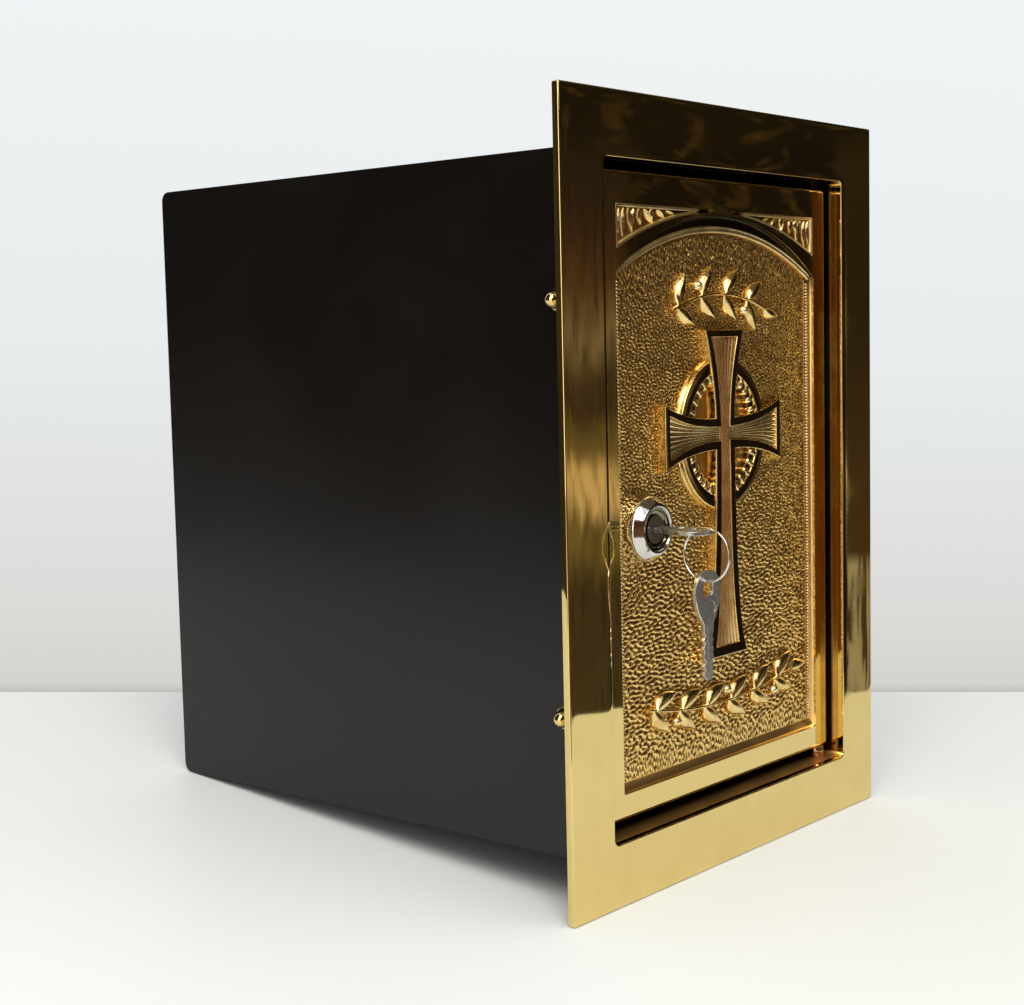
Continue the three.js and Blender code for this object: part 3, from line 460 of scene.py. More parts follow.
# plain metals and paint: tone, its patches, and the roughness of both
doorBack = plainMetal("doorBack", (0.60, 0.43, 0.17), (0.56, 0.39, 0.15), 0.36, 0.41, grain=900.0,
                      depth=0.00005, patch=40.0)
turnedCopper = plainMetal("turnedCopper", (0.66, 0.38, 0.22), (0.36, 0.18, 0.09), 0.14, 0.3)
boxPaint = plainMetal("boxPaint", (0.0050, 0.0030, 0.0021), (0.0060, 0.0038, 0.0027), 0.29, 0.34,
                      grain=2600.0, depth=0.00001, metallic=0.0, specular=0.42, patch=14.0)
# painted reflection: the chrome bezel's inner step round the axis is toned dark olive
lockPaintedReflection = {"centre": (-0.0515, 0, -0.0115), "radius": 0.0086, "tone": (0.22, 0.20, 0.14)}
lockChrome = plainMetal("lockChrome", (0.74, 0.72, 0.68), (0.62, 0.60, 0.57), 0.04, 0.1, core=lockPaintedReflection)
plugChrome = plainMetal("plugChrome", (0.34, 0.32, 0.26), (0.24, 0.22, 0.17), 0.26, 0.38)
zincPlate = plainMetal("zincPlate", (0.50, 0.51, 0.53), (0.36, 0.37, 0.40), 0.28, 0.45)
keyNickel = plainMetal("keyNickel", (0.55, 0.54, 0.51), (0.45, 0.44, 0.41), 0.24, 0.34, metallic=0.9,
                       patch=120.0)
ringWire = plainMetal("ringWire", (0.78, 0.74, 0.71), (0.60, 0.55, 0.52), 0.10, 0.2)
print("finishes made")


# each Geometry Nodes tree ends in real geometry with its finish set
def endTree(tree, result, geometry, finish):
    real = nodeOut(tree, "GeometryNodeRealizeInstances", {"Geometry": geometry})
    feed(tree, result, {0: nodeOut(tree, "GeometryNodeSetMaterial", {"Geometry": real, "Material": finish})})
    return tree


# copies of one shape on points, turned and sized by the points' own values
def copiesTree():
    tree, given, result = newTree("placeCopies", "Geometry", {
        "Points": "Geometry", "Shape": "Object", "Finish": "Material", "Size Variation": 0.0, "Seed": 3},
        {"Copies": "Geometry"})
    shape = newNode(tree, "GeometryNodeObjectInfo", {"Object": given["Shape"]}).outputs["Geometry"]
    turn, size = (nodeOut(tree, "GeometryNodeInputNamedAttribute", {"Name": label}, data_type="FLOAT_VECTOR")
                  for label in ("turn", "size"))
    least = maths(tree, "SUBTRACT", 1.0, given["Size Variation"])
    most = maths(tree, "ADD", 1.0, given["Size Variation"])
    limits = {2: least, 3: most, "Seed": given["Seed"]}
    vary = newNode(tree, "FunctionNodeRandomValue", limits, data_type="FLOAT").outputs[1]
    copies = nodeOut(tree, "GeometryNodeInstanceOnPoints", {
        "Points": given["Points"], "Instance": shape, "Rotation": turn, "Scale": scaledBy(tree, size, vary)})
    return endTree(tree, result, copies, given["Finish"])


# the ribbed face of one arm of the cross, which flares along a curve from its root to its end
def ribbedArmTree():
    tree, given, result = newTree("ribbedArm", "Geometry", {
        "Root": (0, 3, 0), "Control": (20, 3, 0), "End": (40, 9, 0), "Ribs": 8.0, "Crest": 4.0, "Fall": 0.7,
        "Crown": 0.2, "Turn": 0.0, "Centre": (0, 0, 0), "Finish": "Material"}, {"Arm": "Geometry"})
    grid = nodeOut(tree, "GeometryNodeMeshGrid", {
        "Size X": 1.0, "Size Y": 2.0, "Vertices X": 40, "Vertices Y": 97})
    place = parted(tree, nodeOut(tree, "GeometryNodeInputPosition"))
    u, v = maths(tree, "ADD", place[0], 0.5), place[1]
    rest = maths(tree, "SUBTRACT", 1.0, u)
    shares = {"Root": times(tree, rest, rest), "Control": times(tree, times(tree, u, rest), 2.0),
              "End": times(tree, u, u)}
    root, control, end = (scaledBy(tree, given[label], share) for label, share in shares.items())
    curve = parted(tree, vectorMaths(tree, "ADD", vectorMaths(tree, "ADD", root, control), end))
    out, half = curve[0], curve[1]
    phase = times(tree, maths(tree, "MULTIPLY_ADD", v, 0.5, 0.5), given["Ribs"])
    wave = maths(tree, "ABSOLUTE", maths(tree, "SINE", times(tree, phase, math.pi)))
    hollow = maths(tree, "SUBTRACT", 1.0, wave)
    pitch = maths(tree, "DIVIDE", times(tree, half, 2.0), given["Ribs"])
    fall = maths(tree, "MINIMUM", given["Fall"], times(tree, pitch, 0.5))
    crown = times(tree, times(tree, v, v), given["Crown"])
    depth = maths(tree, "ADD", maths(tree, "MULTIPLY_ADD", hollow, fall, given["Crest"]), crown)
    point = nodeOut(tree, "ShaderNodeCombineXYZ", {0: out, 1: depth, 2: times(tree, v, half)})
    moved = nodeOut(tree, "GeometryNodeSetPosition", {"Geometry": grid, "Position": point})
    spin = nodeOut(tree, "ShaderNodeCombineXYZ", {1: times(tree, given["Turn"], -1.0)})
    turned = nodeOut(tree, "GeometryNodeTransform", {
        "Geometry": moved, "Rotation": spin, "Translation": given["Centre"]})
    small = nodeOut(tree, "GeometryNodeTransform", {"Geometry": turned, "Scale": (mm, mm, mm)})
    return endTree(tree, result, small, given["Finish"])


placeCopies, ribbedArm = copiesTree(), ribbedArmTree()


def growWith(obj, tree, values):
    grown = obj.modifiers.new(tree.name, "NODES")
    grown.node_group = tree
    sockets = {s.name: s.identifier for s in tree.interface.items_tree if s.in_out == "INPUT"}
    for label, value in values.items():
        grown[sockets[label]] = value
    return settle(obj)


# spots are (point, turn in degrees, size) for each copy of the mesh
def copiesOf(name, mesh, finish, spots, angle=50, variation=0.0):
    shape = newObject(name + "Shape", mesh, finish)
    points = meshFrom(name, [spot[0] for spot in spots], [])
    turns, sizes = np.radians([spot[1] for spot in spots]), np.array([spot[2] for spot in spots], float)
    for label, values in (("turn", turns), ("size", sizes)):
        points.attributes.new(label, "FLOAT_VECTOR", "POINT").data.foreach_set("vector", values.ravel())
    obj = newObject(name, points, finish)
    growWith(obj, placeCopies, {"Shape": shape, "Finish": finish, "Size Variation": variation, "Seed": 3})
    bpy.data.objects.remove(shape)
    return smooth(obj, angle)


def turnAbout(angle):
    return (0, -angle, 0)


# face plate: a flat frame with buffed edges, so reflections bend near them
plate = {"width": 222, "height": 305, "thickness": 3, "corner": 1, "edge": 0.7, "openingWidth": 171,
         "openingHeight": 256, "openingCorner": 2.5, "openingEdge": 0.5, "roundOff": 0.10, "waves": 0.018,
         "rowsAt": (0, 0.03, 0.07, 0.12, 0.18, 0.26, 0.35, 0.44, 0.53, 0.62, 0.7, 0.78, 0.85, 0.9, 0.94,
                    0.97, 1)}


def slowWave(x, z):
    return 0.5 + 0.25 * (np.sin(x / 6.1 + 1.3 * np.sin(z / 11.0)) + np.sin(z / 7.7 + 1.1 * np.cos(x / 9.0)))


def facePlate():
    parts = {"steps": 4, "along": 36, "up": 48}
    outer = roundedRect(plate["width"], plate["height"], plate["corner"], **parts)
    inner = roundedRect(plate["openingWidth"], plate["openingHeight"], plate["openingCorner"], **parts)
    front, sag, edge, lip = -plate["thickness"], plate["roundOff"], plate["edge"], plate["openingEdge"]
    rings = profiled(outer, [(0, 0.0), (0, -1.0), (0, front + edge + sag)]
                     + roundOver(edge, front + sag, (25, 50, 75)))
    start, end = offset(outer, edge), offset(inner, -lip)
    width = (plate["width"] - plate["openingWidth"]) / 2
    for share in plate["rowsAt"]:
        flat = start + (end - start) * share
        fromOuter, fromInner = share * width, (1 - share) * width
        fall = sag * (math.exp(-fromOuter / 1.5) + 0.8 * math.exp(-fromInner / 1.2))
        calm = min(1.0, fromOuter / 3, fromInner / 3)
        rings.append(atY(flat, front + fall + plate["waves"] * calm * slowWave(flat[:, 0], flat[:, 1])))
    turnIn = roundOver(lip, front + 0.8 * sag, (75, 50, 25, 0))
    rings += profiled(inner, [(-inwards, y) for inwards, y in turnIn] + [(0, -1.0), (0, 0.0)])
    obj = pieceFrom("facePlate", [loftRings(rings, wrap=True)], plateBrass, 40, even=True)
    return ridesOn(obj, "root", "polished_brass", "faceplate")


facePlate()
dressed("opening_collar", liningBrass, "root", "polished_brass", 0.2)
dressed("door_stop", plateBrass, "root", "polished_brass", 0.3)
dressed("pivot_pin_upper", liningBrass, "root", "copper_brass", 0.2)
dressed("pivot_pin_lower", turnedCopper, "root", "copper_brass", 0.2)
print("plate and collar made")

# steel box, painted dark and satin, and its studs
dressed("box_wrap", boxPaint, "root", "box_paint", 0.3)
dressed("box_side_left", boxPaint, "root", "box_paint", 0.5)
dressed("box_side_right", boxPaint, "root", "box_paint", 0.5)
for corner in ("lower_left", "upper_left", "lower_right", "upper_right"):
    dressed("box_stud_" + corner, plateBrass, "root", "polished_brass", 0.2)

# cap nuts: a chamfered hexagon that runs into a dome
capNut = {"flats": 8, "hexHeight": 4.5, "chamfer": 0.5, "neck": 3.75, "domeRadius": 3.7, "domeRise": 6.2,
          "boxHalf": 99.5, "setback": 5.5, "height": 76.5}


def capNuts():
    steps, half = 48, math.pi / 6
    angles = np.linspace(0, 2 * math.pi, steps, endpoint=False)
    apothem, top, chamfer = capNut["flats"] / 2, capNut["hexHeight"], capNut["chamfer"]
    flatRadius = apothem / np.cos((angles + half) % (2 * half) - half)
    reach = apothem / math.cos(half)
    rows = [(0, reach - chamfer), (chamfer * 0.5, reach - 0.1), (chamfer, reach), (top - chamfer, reach),
            (top - 0.2, reach - 0.25), (top, reach - chamfer)]
    profile = [(np.minimum(flatRadius, cap), y) for y, cap in rows] + [(capNut["neck"], top + 0.02)]
    for lift in np.radians(np.linspace(10, 88, 10)):
        y = top - 1 + capNut["domeRise"] * math.sin(lift)
        if y > top + 0.04:
            profile.append((capNut["domeRadius"] * math.cos(lift), y))
    shape = joinedMesh("capNut", [loftRings(turnedRings(profile, steps))])
    aside, back, height = (capNut[k] for k in ("boxHalf", "setback", "height"))
    spots = [((side * aside, back, level * height), (0, 0, -90 * side), (1, 1, 1))
             for side in (-1, 1) for level in (-1, 1)]
    obj = copiesOf("capNuts", shape, plateBrass, spots, angle=30)
    return ridesOn(obj, "root", "polished_brass", "cap_nut_lower_left", "cap_nut_upper_left",
                   "cap_nut_lower_right", "cap_nut_upper_right")


capNuts()

# the door's pivot axis, and the grooved bush below the door
pivot = {"x": 79.4, "y": 8.0, "bore": 2.15}
pivotBush = {"low": -128, "high": -123.1, "radius": 3.5, "groove": 0.35, "grooveUp": 2.1}


def bush():
    low, high, r, g, bore = *(pivotBush[k] for k in ("low", "high", "radius", "groove")), pivot["bore"]
    waist = low + pivotBush["grooveUp"]
    profile = [(bore, low), (r - 0.1, low), (r, low + 0.1), (r, waist - 0.35), (r - g, waist - 0.1),
               (r - g, waist + 0.1), (r, waist + 0.35), (r, high - 0.15), (r - 0.15, high), (bore, high)]
    rings = turnedRings(profile, 64, "Z", (pivot["x"], pivot["y"], 0))
    obj = pieceFrom("pivotBush", [loftRings(rings, wrap=True)], turnedCopper, 50)
    return ridesOn(obj, "root", "copper_brass", "pivot_bush_lower")


bush()
print("box and fastenings made")

# door: a cast slab with a polished border, a cove down to the field and two corner pockets
door = {"width": 167.8, "height": 248, "middle": 1, "corner": 1.8, "front": 4.5, "back": 11.5, "edge": 1.6,
        "panelX": 2.0, "panelHalf": 71.6, "panelTop": 113, "panelBottom": -113, "fieldHalf": 69.8,
        "fieldBottom": -109.5, "field": 7.5, "archRadius": 144.4, "archCrown": 104.8, "shoulder": 86.7,
        "coveCrown": 110.5, "spandrelRadius": 168.4, "spandrelCrown": 111.3, "spandrelTip": 6,
        "spandrelMargin": 0.6, "spandrelDepth": 1.8, "spandrelFade": 12, "floor": 8.0, "lockHole": 9.8}
cove = [(0, 0), (0.015, 0.06), (0.03, 0.14), (0.06, 0.3), (0.1, 0.42), (0.16, 0.52), (0.25, 0.6), (0.4, 0.7),
        (0.6, 0.81), (0.8, 0.92), (1, 1)]
lockAxis = {"x": -51.5, "z": -11.5}


# the panel's relief is drawn round x = 0 and then moved beside the lock's wider border
def onPanel(obj):
    obj.data.transform(Matrix.Translation((door["panelX"] * mm, 0, 0)))
    return ridesOn(obj, "door", "cast_brass")


def reliefPiece(name, parts, finish, angle=50, even=False, merge=1e-6):
    return onPanel(pieceFrom(name, parts, finish, angle, even, merge))


def arcHeight(x, radius, crown):
    return crown - radius + np.sqrt(radius ** 2 - np.asarray(x) ** 2)


# outline whose top follows an arc; equal counts let two of them be joined
def archedOutline(half, bottom, crown, shoulder, steps=64, corner=1.0):
    rise = crown - shoulder
    radius = (half * half + rise * rise) / (2 * rise)
    spread = math.degrees(math.asin(half / radius))
    foot = bottom + 2 * corner
    low = roundedRect(2 * half, 4 * corner, corner, foot, steps=4)
    right = np.array([[half, foot + (shoulder - foot) * k / 12] for k in range(1, 12)])
    top = arcPoints(0, crown - radius, radius, 90 - spread, 90 + spread, steps)
    return np.concatenate([low[:5], right, top, right[::-1] * [-1, 1], low[-5:]])


def spandrelOutline(side):
    outer = door["panelHalf"] - door["spandrelMargin"]
    top = door["panelTop"] - door["spandrelMargin"]
    x = np.linspace(door["spandrelTip"], outer, 24)
    curve = np.stack([side * x, arcHeight(x, door["spandrelRadius"], door["spandrelCrown"])], 1)
    rest = [[side * (outer - (outer - door["spandrelTip"]) * k / 12), top] for k in range(13)]
    up = [[side * outer, curve[-1][1] + (top - curve[-1][1]) * k / 6] for k in range(1, 6)]
    return np.concatenate([curve, up, rest])


# a recess: walls between the rings, then a floor
def recess(rings, floor):
    verts, faces = loftRings(rings, ends=False)
    start = (len(rings) - 1) * len(rings[0])
    return verts, faces + [tuple(i + start for i in face) for face in floor]


def flatFloor(loops):
    polygons = [[Vector((x, z, 0)) for x, z in loop] for loop in loops]
    return [tuple(face) for face in tessellate_polygon(polygons)]


def holeCutter(radius, length, middle, turn=0):
    edit = bmesh.new()
    place = Matrix.Translation(Vector(middle) * mm) @ Euler((math.radians(turn), 0, 0)).to_matrix().to_4x4()
    bmesh.ops.create_cone(edit, cap_ends=True, segments=64, radius1=radius * mm, radius2=radius * mm,
                          depth=length * mm, matrix=place)
    return newObject("hole", meshOf("hole", edit), doorBrass)


def doorFrame():
    outline = roundedRect(door["width"], door["height"], door["corner"], door["middle"], steps=6)
    back, front, edge, panel = door["back"], door["front"], door["edge"], [door["panelX"], 0]
    rings = profiled(outline, [(0.35, back), (0.1, back - 0.1), (0, back - 0.35), (0, front + edge)]
                     + roundOver(edge, front, (15, 30, 45, 60, 75, 90)))
    verts, faces = loftRings(rings, ends=False)
    parts = [(verts, faces + [tuple(reversed(range(len(outline))))])]
    shoulder = float(arcHeight(door["fieldHalf"], door["archRadius"], door["archCrown"]))
    rim = archedOutline(door["panelHalf"], door["panelBottom"], door["coveCrown"], door["shoulder"]) + panel
    base = archedOutline(door["fieldHalf"], door["fieldBottom"], door["archCrown"], shoulder) + panel
    rings = [atY(rim + (base - rim) * across, front + down * (door["field"] - front))
             for across, down in cove]
    parts.append(recess(rings + [atY(base, door["floor"])], [range(len(base))]))
    loops = [offset(outline, edge), rim]
    for side in (-1, 1):
        pocket = spandrelOutline(side) + panel
        fade = (np.abs(pocket[:, 0] - door["panelX"]) - door["spandrelTip"]) / door["spandrelFade"]
        depth = door["spandrelDepth"]
        rings = [atY(offset(pocket, inwards), front + down * np.clip(fade, 0, 1))
                 for inwards, down in ((0, 0), (0.12, 0.12), (0.3, depth - 0.3), (0.55, depth))]
        parts.append(recess(rings, flatFloor([rings[3][:, [0, 2]]])))
        loops.append(pocket)
    parts.append((atY(np.concatenate(loops), front), flatFloor(loops)))
    obj = newObject("doorFrame", joinedMesh("doorFrame", parts, 2e-6), doorBrass)
    cutters = [holeCutter(door["lockHole"], 12, (lockAxis["x"], 8, lockAxis["z"]), turn=90)]
    cutters += [holeCutter(pivot["bore"], 20, (pivot["x"], pivot["y"], z)) for z in (125, -123)]
    cutWith(obj, cutters)
    obj.data.materials.append(doorBack)
    for face in obj.data.polygons:
        face.material_index = int(face.center.y > (back - 0.3) * mm)
    return ridesOn(smooth(obj, 38, even=True), "door", "cast_brass", "door_casting")


doorFrame()

# pebbled field: band-passed noise, drawn upright by the arch and the lower edge, and broad below the lock;
# fine, broad and upright are (pitch, stretch along X, stretch along Z)
field = {"pitchX": 0.43, "pitchZ": 0.38, "height": 0.31, "calmAbove": 0.16, "seed": 11, "crossZ": 22.4,
         "ringFloor": 25.6, "fine": (1.45, 1.5, 1.0), "broad": (1.8, 1.95, 1.0), "upright": (1.5, 0.95, 2.2),
         "split": -4, "archZone": 20, "lowZone": 11, "broadBelow": 5, "broadOver": 45, "foot": 8.6,
         "lockGap": 10.4}


def bandNoise(rng, shape, pitch, stretchX, stretchZ):
    white = np.fft.rfft2(rng.standard_normal(shape))
    fz = np.fft.fftfreq(shape[0], field["pitchZ"])[:, None] * stretchZ
    fx = np.fft.rfftfreq(shape[1], field["pitchX"])[None, :] * stretchX
    frequency = np.sqrt(fx ** 2 + fz ** 2) * pitch
    result = np.fft.irfft2(white * np.exp(-((frequency - 1) / 0.26) ** 2), s=shape)
    return result / result.std()


def fieldHeights():
    half, bottom = door["fieldHalf"] - 0.2, door["fieldBottom"] - 0.1
    xs = np.linspace(-half, half, round(2 * half / field["pitchX"]) + 1)
    zs = np.arange(bottom, door["archCrown"] - 0.6, field["pitchZ"])
    rng = np.random.default_rng(field["seed"])
    fine, broad, upright = (bandNoise(rng, (len(zs), len(xs)), *field[k])
                            for k in ("fine", "broad", "upright"))
    x, z = np.meshgrid(xs, zs)
    fromArch, fromBottom = arcHeight(x, door["archRadius"], door["archCrown"]) - z, z - bottom
    tall = np.exp(-(fromArch / field["archZone"]) ** 4) + np.exp(-(fromBottom / field["lowZone"]) ** 4)
    tall = np.clip(tall, 0, 1)
    wide = np.clip((field["broadBelow"] - z) / field["broadOver"], 0, 1) * (1 - tall)
    noise = fine * np.sqrt(np.clip(1 - tall - wide, 0, 1)) + broad * np.sqrt(wide) + upright * np.sqrt(tall)
    pattern = np.tanh(1.4 * (noise + 0.25))
    height = pattern * (1 - field["calmAbove"] * np.clip((z + 20) / 60, 0, 1))
    height *= 1 - 0.4 * np.exp(-(fromBottom / 8) ** 2)
    edge = np.minimum.reduce([half - np.abs(x), fromBottom, fromArch - 1.4])
    inside = np.hypot(x, z - field["crossZ"]) < field["ringFloor"]
    calm = np.clip(edge / 1.2, 0, 1) * np.where(inside, 0.06, 1.0)
    tone = np.where(inside, 0.55, 0.5 + 0.5 * pattern * calm)
    fromLock = np.hypot(x + door["panelX"] - lockAxis["x"], z - lockAxis["z"])
    keep = (fromArch > 1.2) & (fromLock > field["lockGap"])
    return x, z, height * calm, keep, tone


def fieldPiece(name, x, z, height, keep, tone):
    cell = keep[:-1, :-1] & keep[1:, :-1] & keep[:-1, 1:] & keep[1:, 1:]
    index = np.arange(x.size).reshape(x.shape)
    quads = np.stack([index[:-1, :-1], index[:-1, 1:], index[1:, 1:], index[1:, :-1]], -1)[cell]
    used = np.unique(quads)
    renumber = np.full(x.size, -1)
    renumber[used] = np.arange(len(used))
    y = door["field"] - field["height"] * height
    mesh = meshFrom(name, np.stack([x, y, z], -1).reshape(-1, 3)[used], renumber[quads])
    relief = mesh.attributes.new("relief", "FLOAT", "POINT")
    relief.data.foreach_set("value", tone.ravel()[used].astype(np.float32))
    foot = field["foot"] * mm
    edit = bmesh.new()
    edit.from_mesh(mesh)
    made = bmesh.ops.extrude_edge_only(edit, edges=[e for e in edit.edges if e.is_boundary])["geom"]
    for vert in [g for g in made if isinstance(g, bmesh.types.BMVert)]:
        vert.co.y = foot
    footEdges = [g for g in made if isinstance(g, bmesh.types.BMEdge)
                 and all(abs(v.co.y - foot) < 1e-7 for v in g.verts)]
    bmesh.ops.triangle_fill(edit, use_beauty=False, use_dissolve=False, edges=footEdges, normal=(0, 1, 0))
    bmesh.ops.recalc_face_normals(edit, faces=edit.faces)
    edit.to_mesh(mesh)
    edit.free()
    return onPanel(smooth(newObject(name, mesh, castField), 60))


def doorField():
    maps = fieldHeights()
    row = int(np.argmin(np.abs(maps[1][:, 0] - field["split"])))
    fieldPiece("doorFieldLower", *[m[:row + 1] for m in maps])
    fieldPiece("doorFieldUpper", *[m[row:] for m in maps])


doorField()
print("door frame and field made")

# beads: a double one under the arch, and a rail with a row of pearls down each side
beads = {"archSection": [(-1.5, 8.1), (-1.48, 6.8), (-1.38, 6.25), (-1.2, 5.98), (-0.95, 5.9), (-0.72, 6.0),
                         (-0.58, 6.25), (-0.48, 6.3), (-0.36, 6.12), (-0.1, 5.86), (0.35, 5.75), (0.8, 5.86),
                         (1.1, 6.12), (1.3, 6.6), (1.38, 7.2), (1.4, 8.1)],
         "foot": 8.1, "strip": 2.2, "stripSide": 7.6, "stripTop": 6.8, "pearl": 0.66, "pearlPitch": 1.36,
         "pearlY": 6.6, "pearlSize": (1.5, 1.1, 0.85), "pearlVariation": 0.06}


def archBead():
    spread = math.degrees(math.asin((door["fieldHalf"] + 0.4) / door["archRadius"]))
    middle = door["archCrown"] - door["archRadius"]
    rings = []
    for angle in np.radians(np.linspace(90 - spread, 90 + spread, 121)):
        section = [(door["archRadius"] - inward, y) for inward, y in beads["archSection"]]
        rings.append(np.array([[r * math.cos(angle), y, middle + r * math.sin(angle)] for r, y in section]))
    return reliefPiece("archBead", [loftRings(rings)], paintedHighlightBrass)


def sideBeads():
    top = float(arcHeight(door["fieldHalf"], door["archRadius"], door["archCrown"])) - 1.2
    low = door["fieldBottom"] + 0.6
    wide, rise = beads["strip"], beads["stripSide"] - beads["stripTop"]
    section = [(wide / 2 * (1 - math.cos(a)), beads["stripSide"] - rise * math.sin(a) ** 0.5)
               for a in np.radians(np.linspace(0, 180, 9))]
    section = [(0, beads["foot"]), *section, (wide, beads["foot"])]
    parts = []
    for side in (-1, 1):
        row = [(side * (door["fieldHalf"] + 0.05 - inward), y) for inward, y in section]
        parts.append(loftRings([np.array([[x, y, z] for x, y in row]) for z in np.linspace(low, top, 40)]))
    reliefPiece("sideStrips", parts, ornamentBrass)
    edit = bmesh.new()
    bmesh.ops.create_icosphere(edit, subdivisions=2, radius=beads["pearl"] * mm)
    count = int((top - low - 1) / beads["pearlPitch"])
    aside = door["fieldHalf"] - wide / 2
    places = [(side * aside, beads["pearlY"], low + 0.6 + k * beads["pearlPitch"])
              for side in (-1, 1) for k in range(count)]
    spots = [(place, (0, 0, 0), beads["pearlSize"]) for place in places]
    pearl = meshOf("pearl", edit)
    return onPanel(copiesOf("sidePearls", pearl, pearlBrass, spots, 80, beads["pearlVariation"]))


archBead()
sideBeads()

# leaves: a pointed blade with a midrib and veins, bent to one side
leafLook = {"fullness": 0.85, "least": 0.08, "rib": 0.35, "vein": 0.13, "skirt": 0.6}


def leafShape(name, length, width, top, foot, bend, veins, rows=22, across=11):
    verts, faces = [], []
    for s in np.linspace(0.02, 0.985, rows):
        half = width / 2 * math.sin(math.pi * s ** leafLook["fullness"]) + leafLook["least"]
        swell = math.sin(math.pi * min(1, s * 0.85 + 0.12)) ** 0.5
        for v in np.linspace(-1, 1, across):
            lift = (foot - top) * (0.30 + 0.70 * (1 - abs(v) ** 1.8) * swell)
            lift -= leafLook["rib"] * math.exp(-(v / 0.16) ** 2) * swell
            ripple = math.sin(2 * math.pi * veins * (s - 0.16 * abs(v)))
            lift += leafLook["vein"] * ripple * abs(v) * (1 - abs(v) ** 4)
            verts.append((length * s, foot - min(lift, foot - top), bend * length * s * s + v * half))
    index = np.arange(rows * across).reshape(rows, across)
    for r in range(rows - 1):
        for a in range(across - 1):
            faces.append((index[r, a], index[r, a + 1], index[r + 1, a + 1], index[r + 1, a]))
    rim = [*index[0], *index[1:, -1], *index[-1, -2::-1], *index[-2:0:-1, 0]]
    start, count = len(verts), len(rim)
    verts += [(verts[i][0], foot + leafLook["skirt"], verts[i][2]) for i in rim]
    for k in range(count):
        n = (k + 1) % count
        faces.append((rim[k], start + k, start + n, rim[n]))
    faces.append(tuple(range(start, start + count)))
    return joinedMesh(name, [(verts, faces)])


# corner pockets: leaves that fan out of the upper corners, inside a raised edge;
# each leaf is (distance along the top, direction, length, fullness)
spandrel = {"fan": [(-0.8, -93, 10.5, 0.7), (2.0, -95, 11.4, 0.8), (5.2, -118, 9.6, 1.0),
                    (8.6, -104, 6.0, 1.0), (11.8, -122, 6.2, 1.0), (15.0, -150, 8.6, 0.9),
                    (19.5, -136, 4.0, 1.1), (23.5, -160, 6.4, 0.7), (29.5, -169, 7.6, 0.5)],
            "leaf": 12.0, "width": 3.4, "leafTop": 4.75, "bend": 0.16, "insetX": 4.2, "insetZ": 1.9,
            "edgeTo": 16, "edge": [(0.05, 0.35), (0.25, 0.12), (0.6, 0.05), (0.95, 0.15), (1.15, 0.45)]}


def spandrels():
    edges = []
    front = door["front"]
    low = front + door["spandrelDepth"]
    for side, label in ((-1, "Left"), (1, "Right")):
        shape = leafShape("spandrelLeaf", spandrel["leaf"], spandrel["width"], spandrel["leafTop"], low + 0.1,
                          spandrel["bend"] * side, veins=5, rows=16, across=9)
        spots = []
        for across, direction, length, fullness in spandrel["fan"]:
            angle = direction if side > 0 else 180 - direction
            foot = (side * (door["panelHalf"] - spandrel["insetX"] - across), 0,
                    door["panelTop"] - spandrel["insetZ"])
            spots.append((foot, turnAbout(angle), (length / spandrel["leaf"], 1, fullness)))
        onPanel(copiesOf("spandrelLeaves" + label, shape, leafBrass, spots))
        pocket = spandrelOutline(side)
        profile = [(inwards, front + down) for inwards, down in spandrel["edge"]]
        rings = profiled(pocket, [(0.05, low + 0.2), *profile, (1.2, low + 0.2)])
        for ring in rings:
            ring[:, 1] = np.where(np.abs(ring[:, 0]) < spandrel["edgeTo"], low + 0.2, ring[:, 1])
        edges.append(loftRings(rings, wrap=True))
        floor = loftRings(profiled(pocket, [(0.7, low + 0.2), (0.7, low - 0.12)]))
        reliefPiece("spandrelFloor" + label, [floor], floorBrass, 30, even=True)
    return reliefPiece("spandrelEdges", edges, paintedHighlightBrass)


spandrels()

# cross: arms that flare from the crossing; each row is [outwards, half width] at root, control and end
cross = {"z": 22.4, "top": 3.5, "pocket": 1.4, "foot": 8.2, "arms": {
    "side": {"rim": ((6.4, 6.4), (27, 6.4), (42, 12.8)), "flutes": ((3.2, 2.7), (25, 2.9), (39, 8.8)),
             "ribs": 8},
    "upper": {"rim": ((6.4, 6.6), (21.6, 7.2), (42.1, 13.5)), "flutes": ((0, 3.2), (22, 3.4), (39.2, 9.5)),
              "ribs": 7},
    "stem": {"rim": ((6.4, 6.8), (82.4, 7.5), (91.7, 15)), "flutes": ((0, 3.2), (70, 3.3), (87.4, 8.6)),
             "ribs": 7}}}


def flare(curve, t):
    root, control, end = (np.array(p, float) for p in curve)
    return (1 - t) ** 2 * root + 2 * t * (1 - t) * control + t ** 2 * end


def crossOutline(kind, corners, steps=16):
    points = []
    arms = [("side", 0), ("upper", 90), ("side", 180), ("stem", 270)]
    for (name, turn), corner in zip(arms, corners):
        a = math.radians(turn)
        curve = [flare(cross["arms"][name][kind], t) for t in np.linspace(0.1, 1, steps)]
        local = [(out, -half) for out, half in curve] + [(out, half) for out, half in reversed(curve)]
        points += [(out * math.cos(a) - aside * math.sin(a), out * math.sin(a) + aside * math.cos(a))
                   for out, aside in local]
        points.append(corner)
    return np.array(points) + [0, cross["z"]]


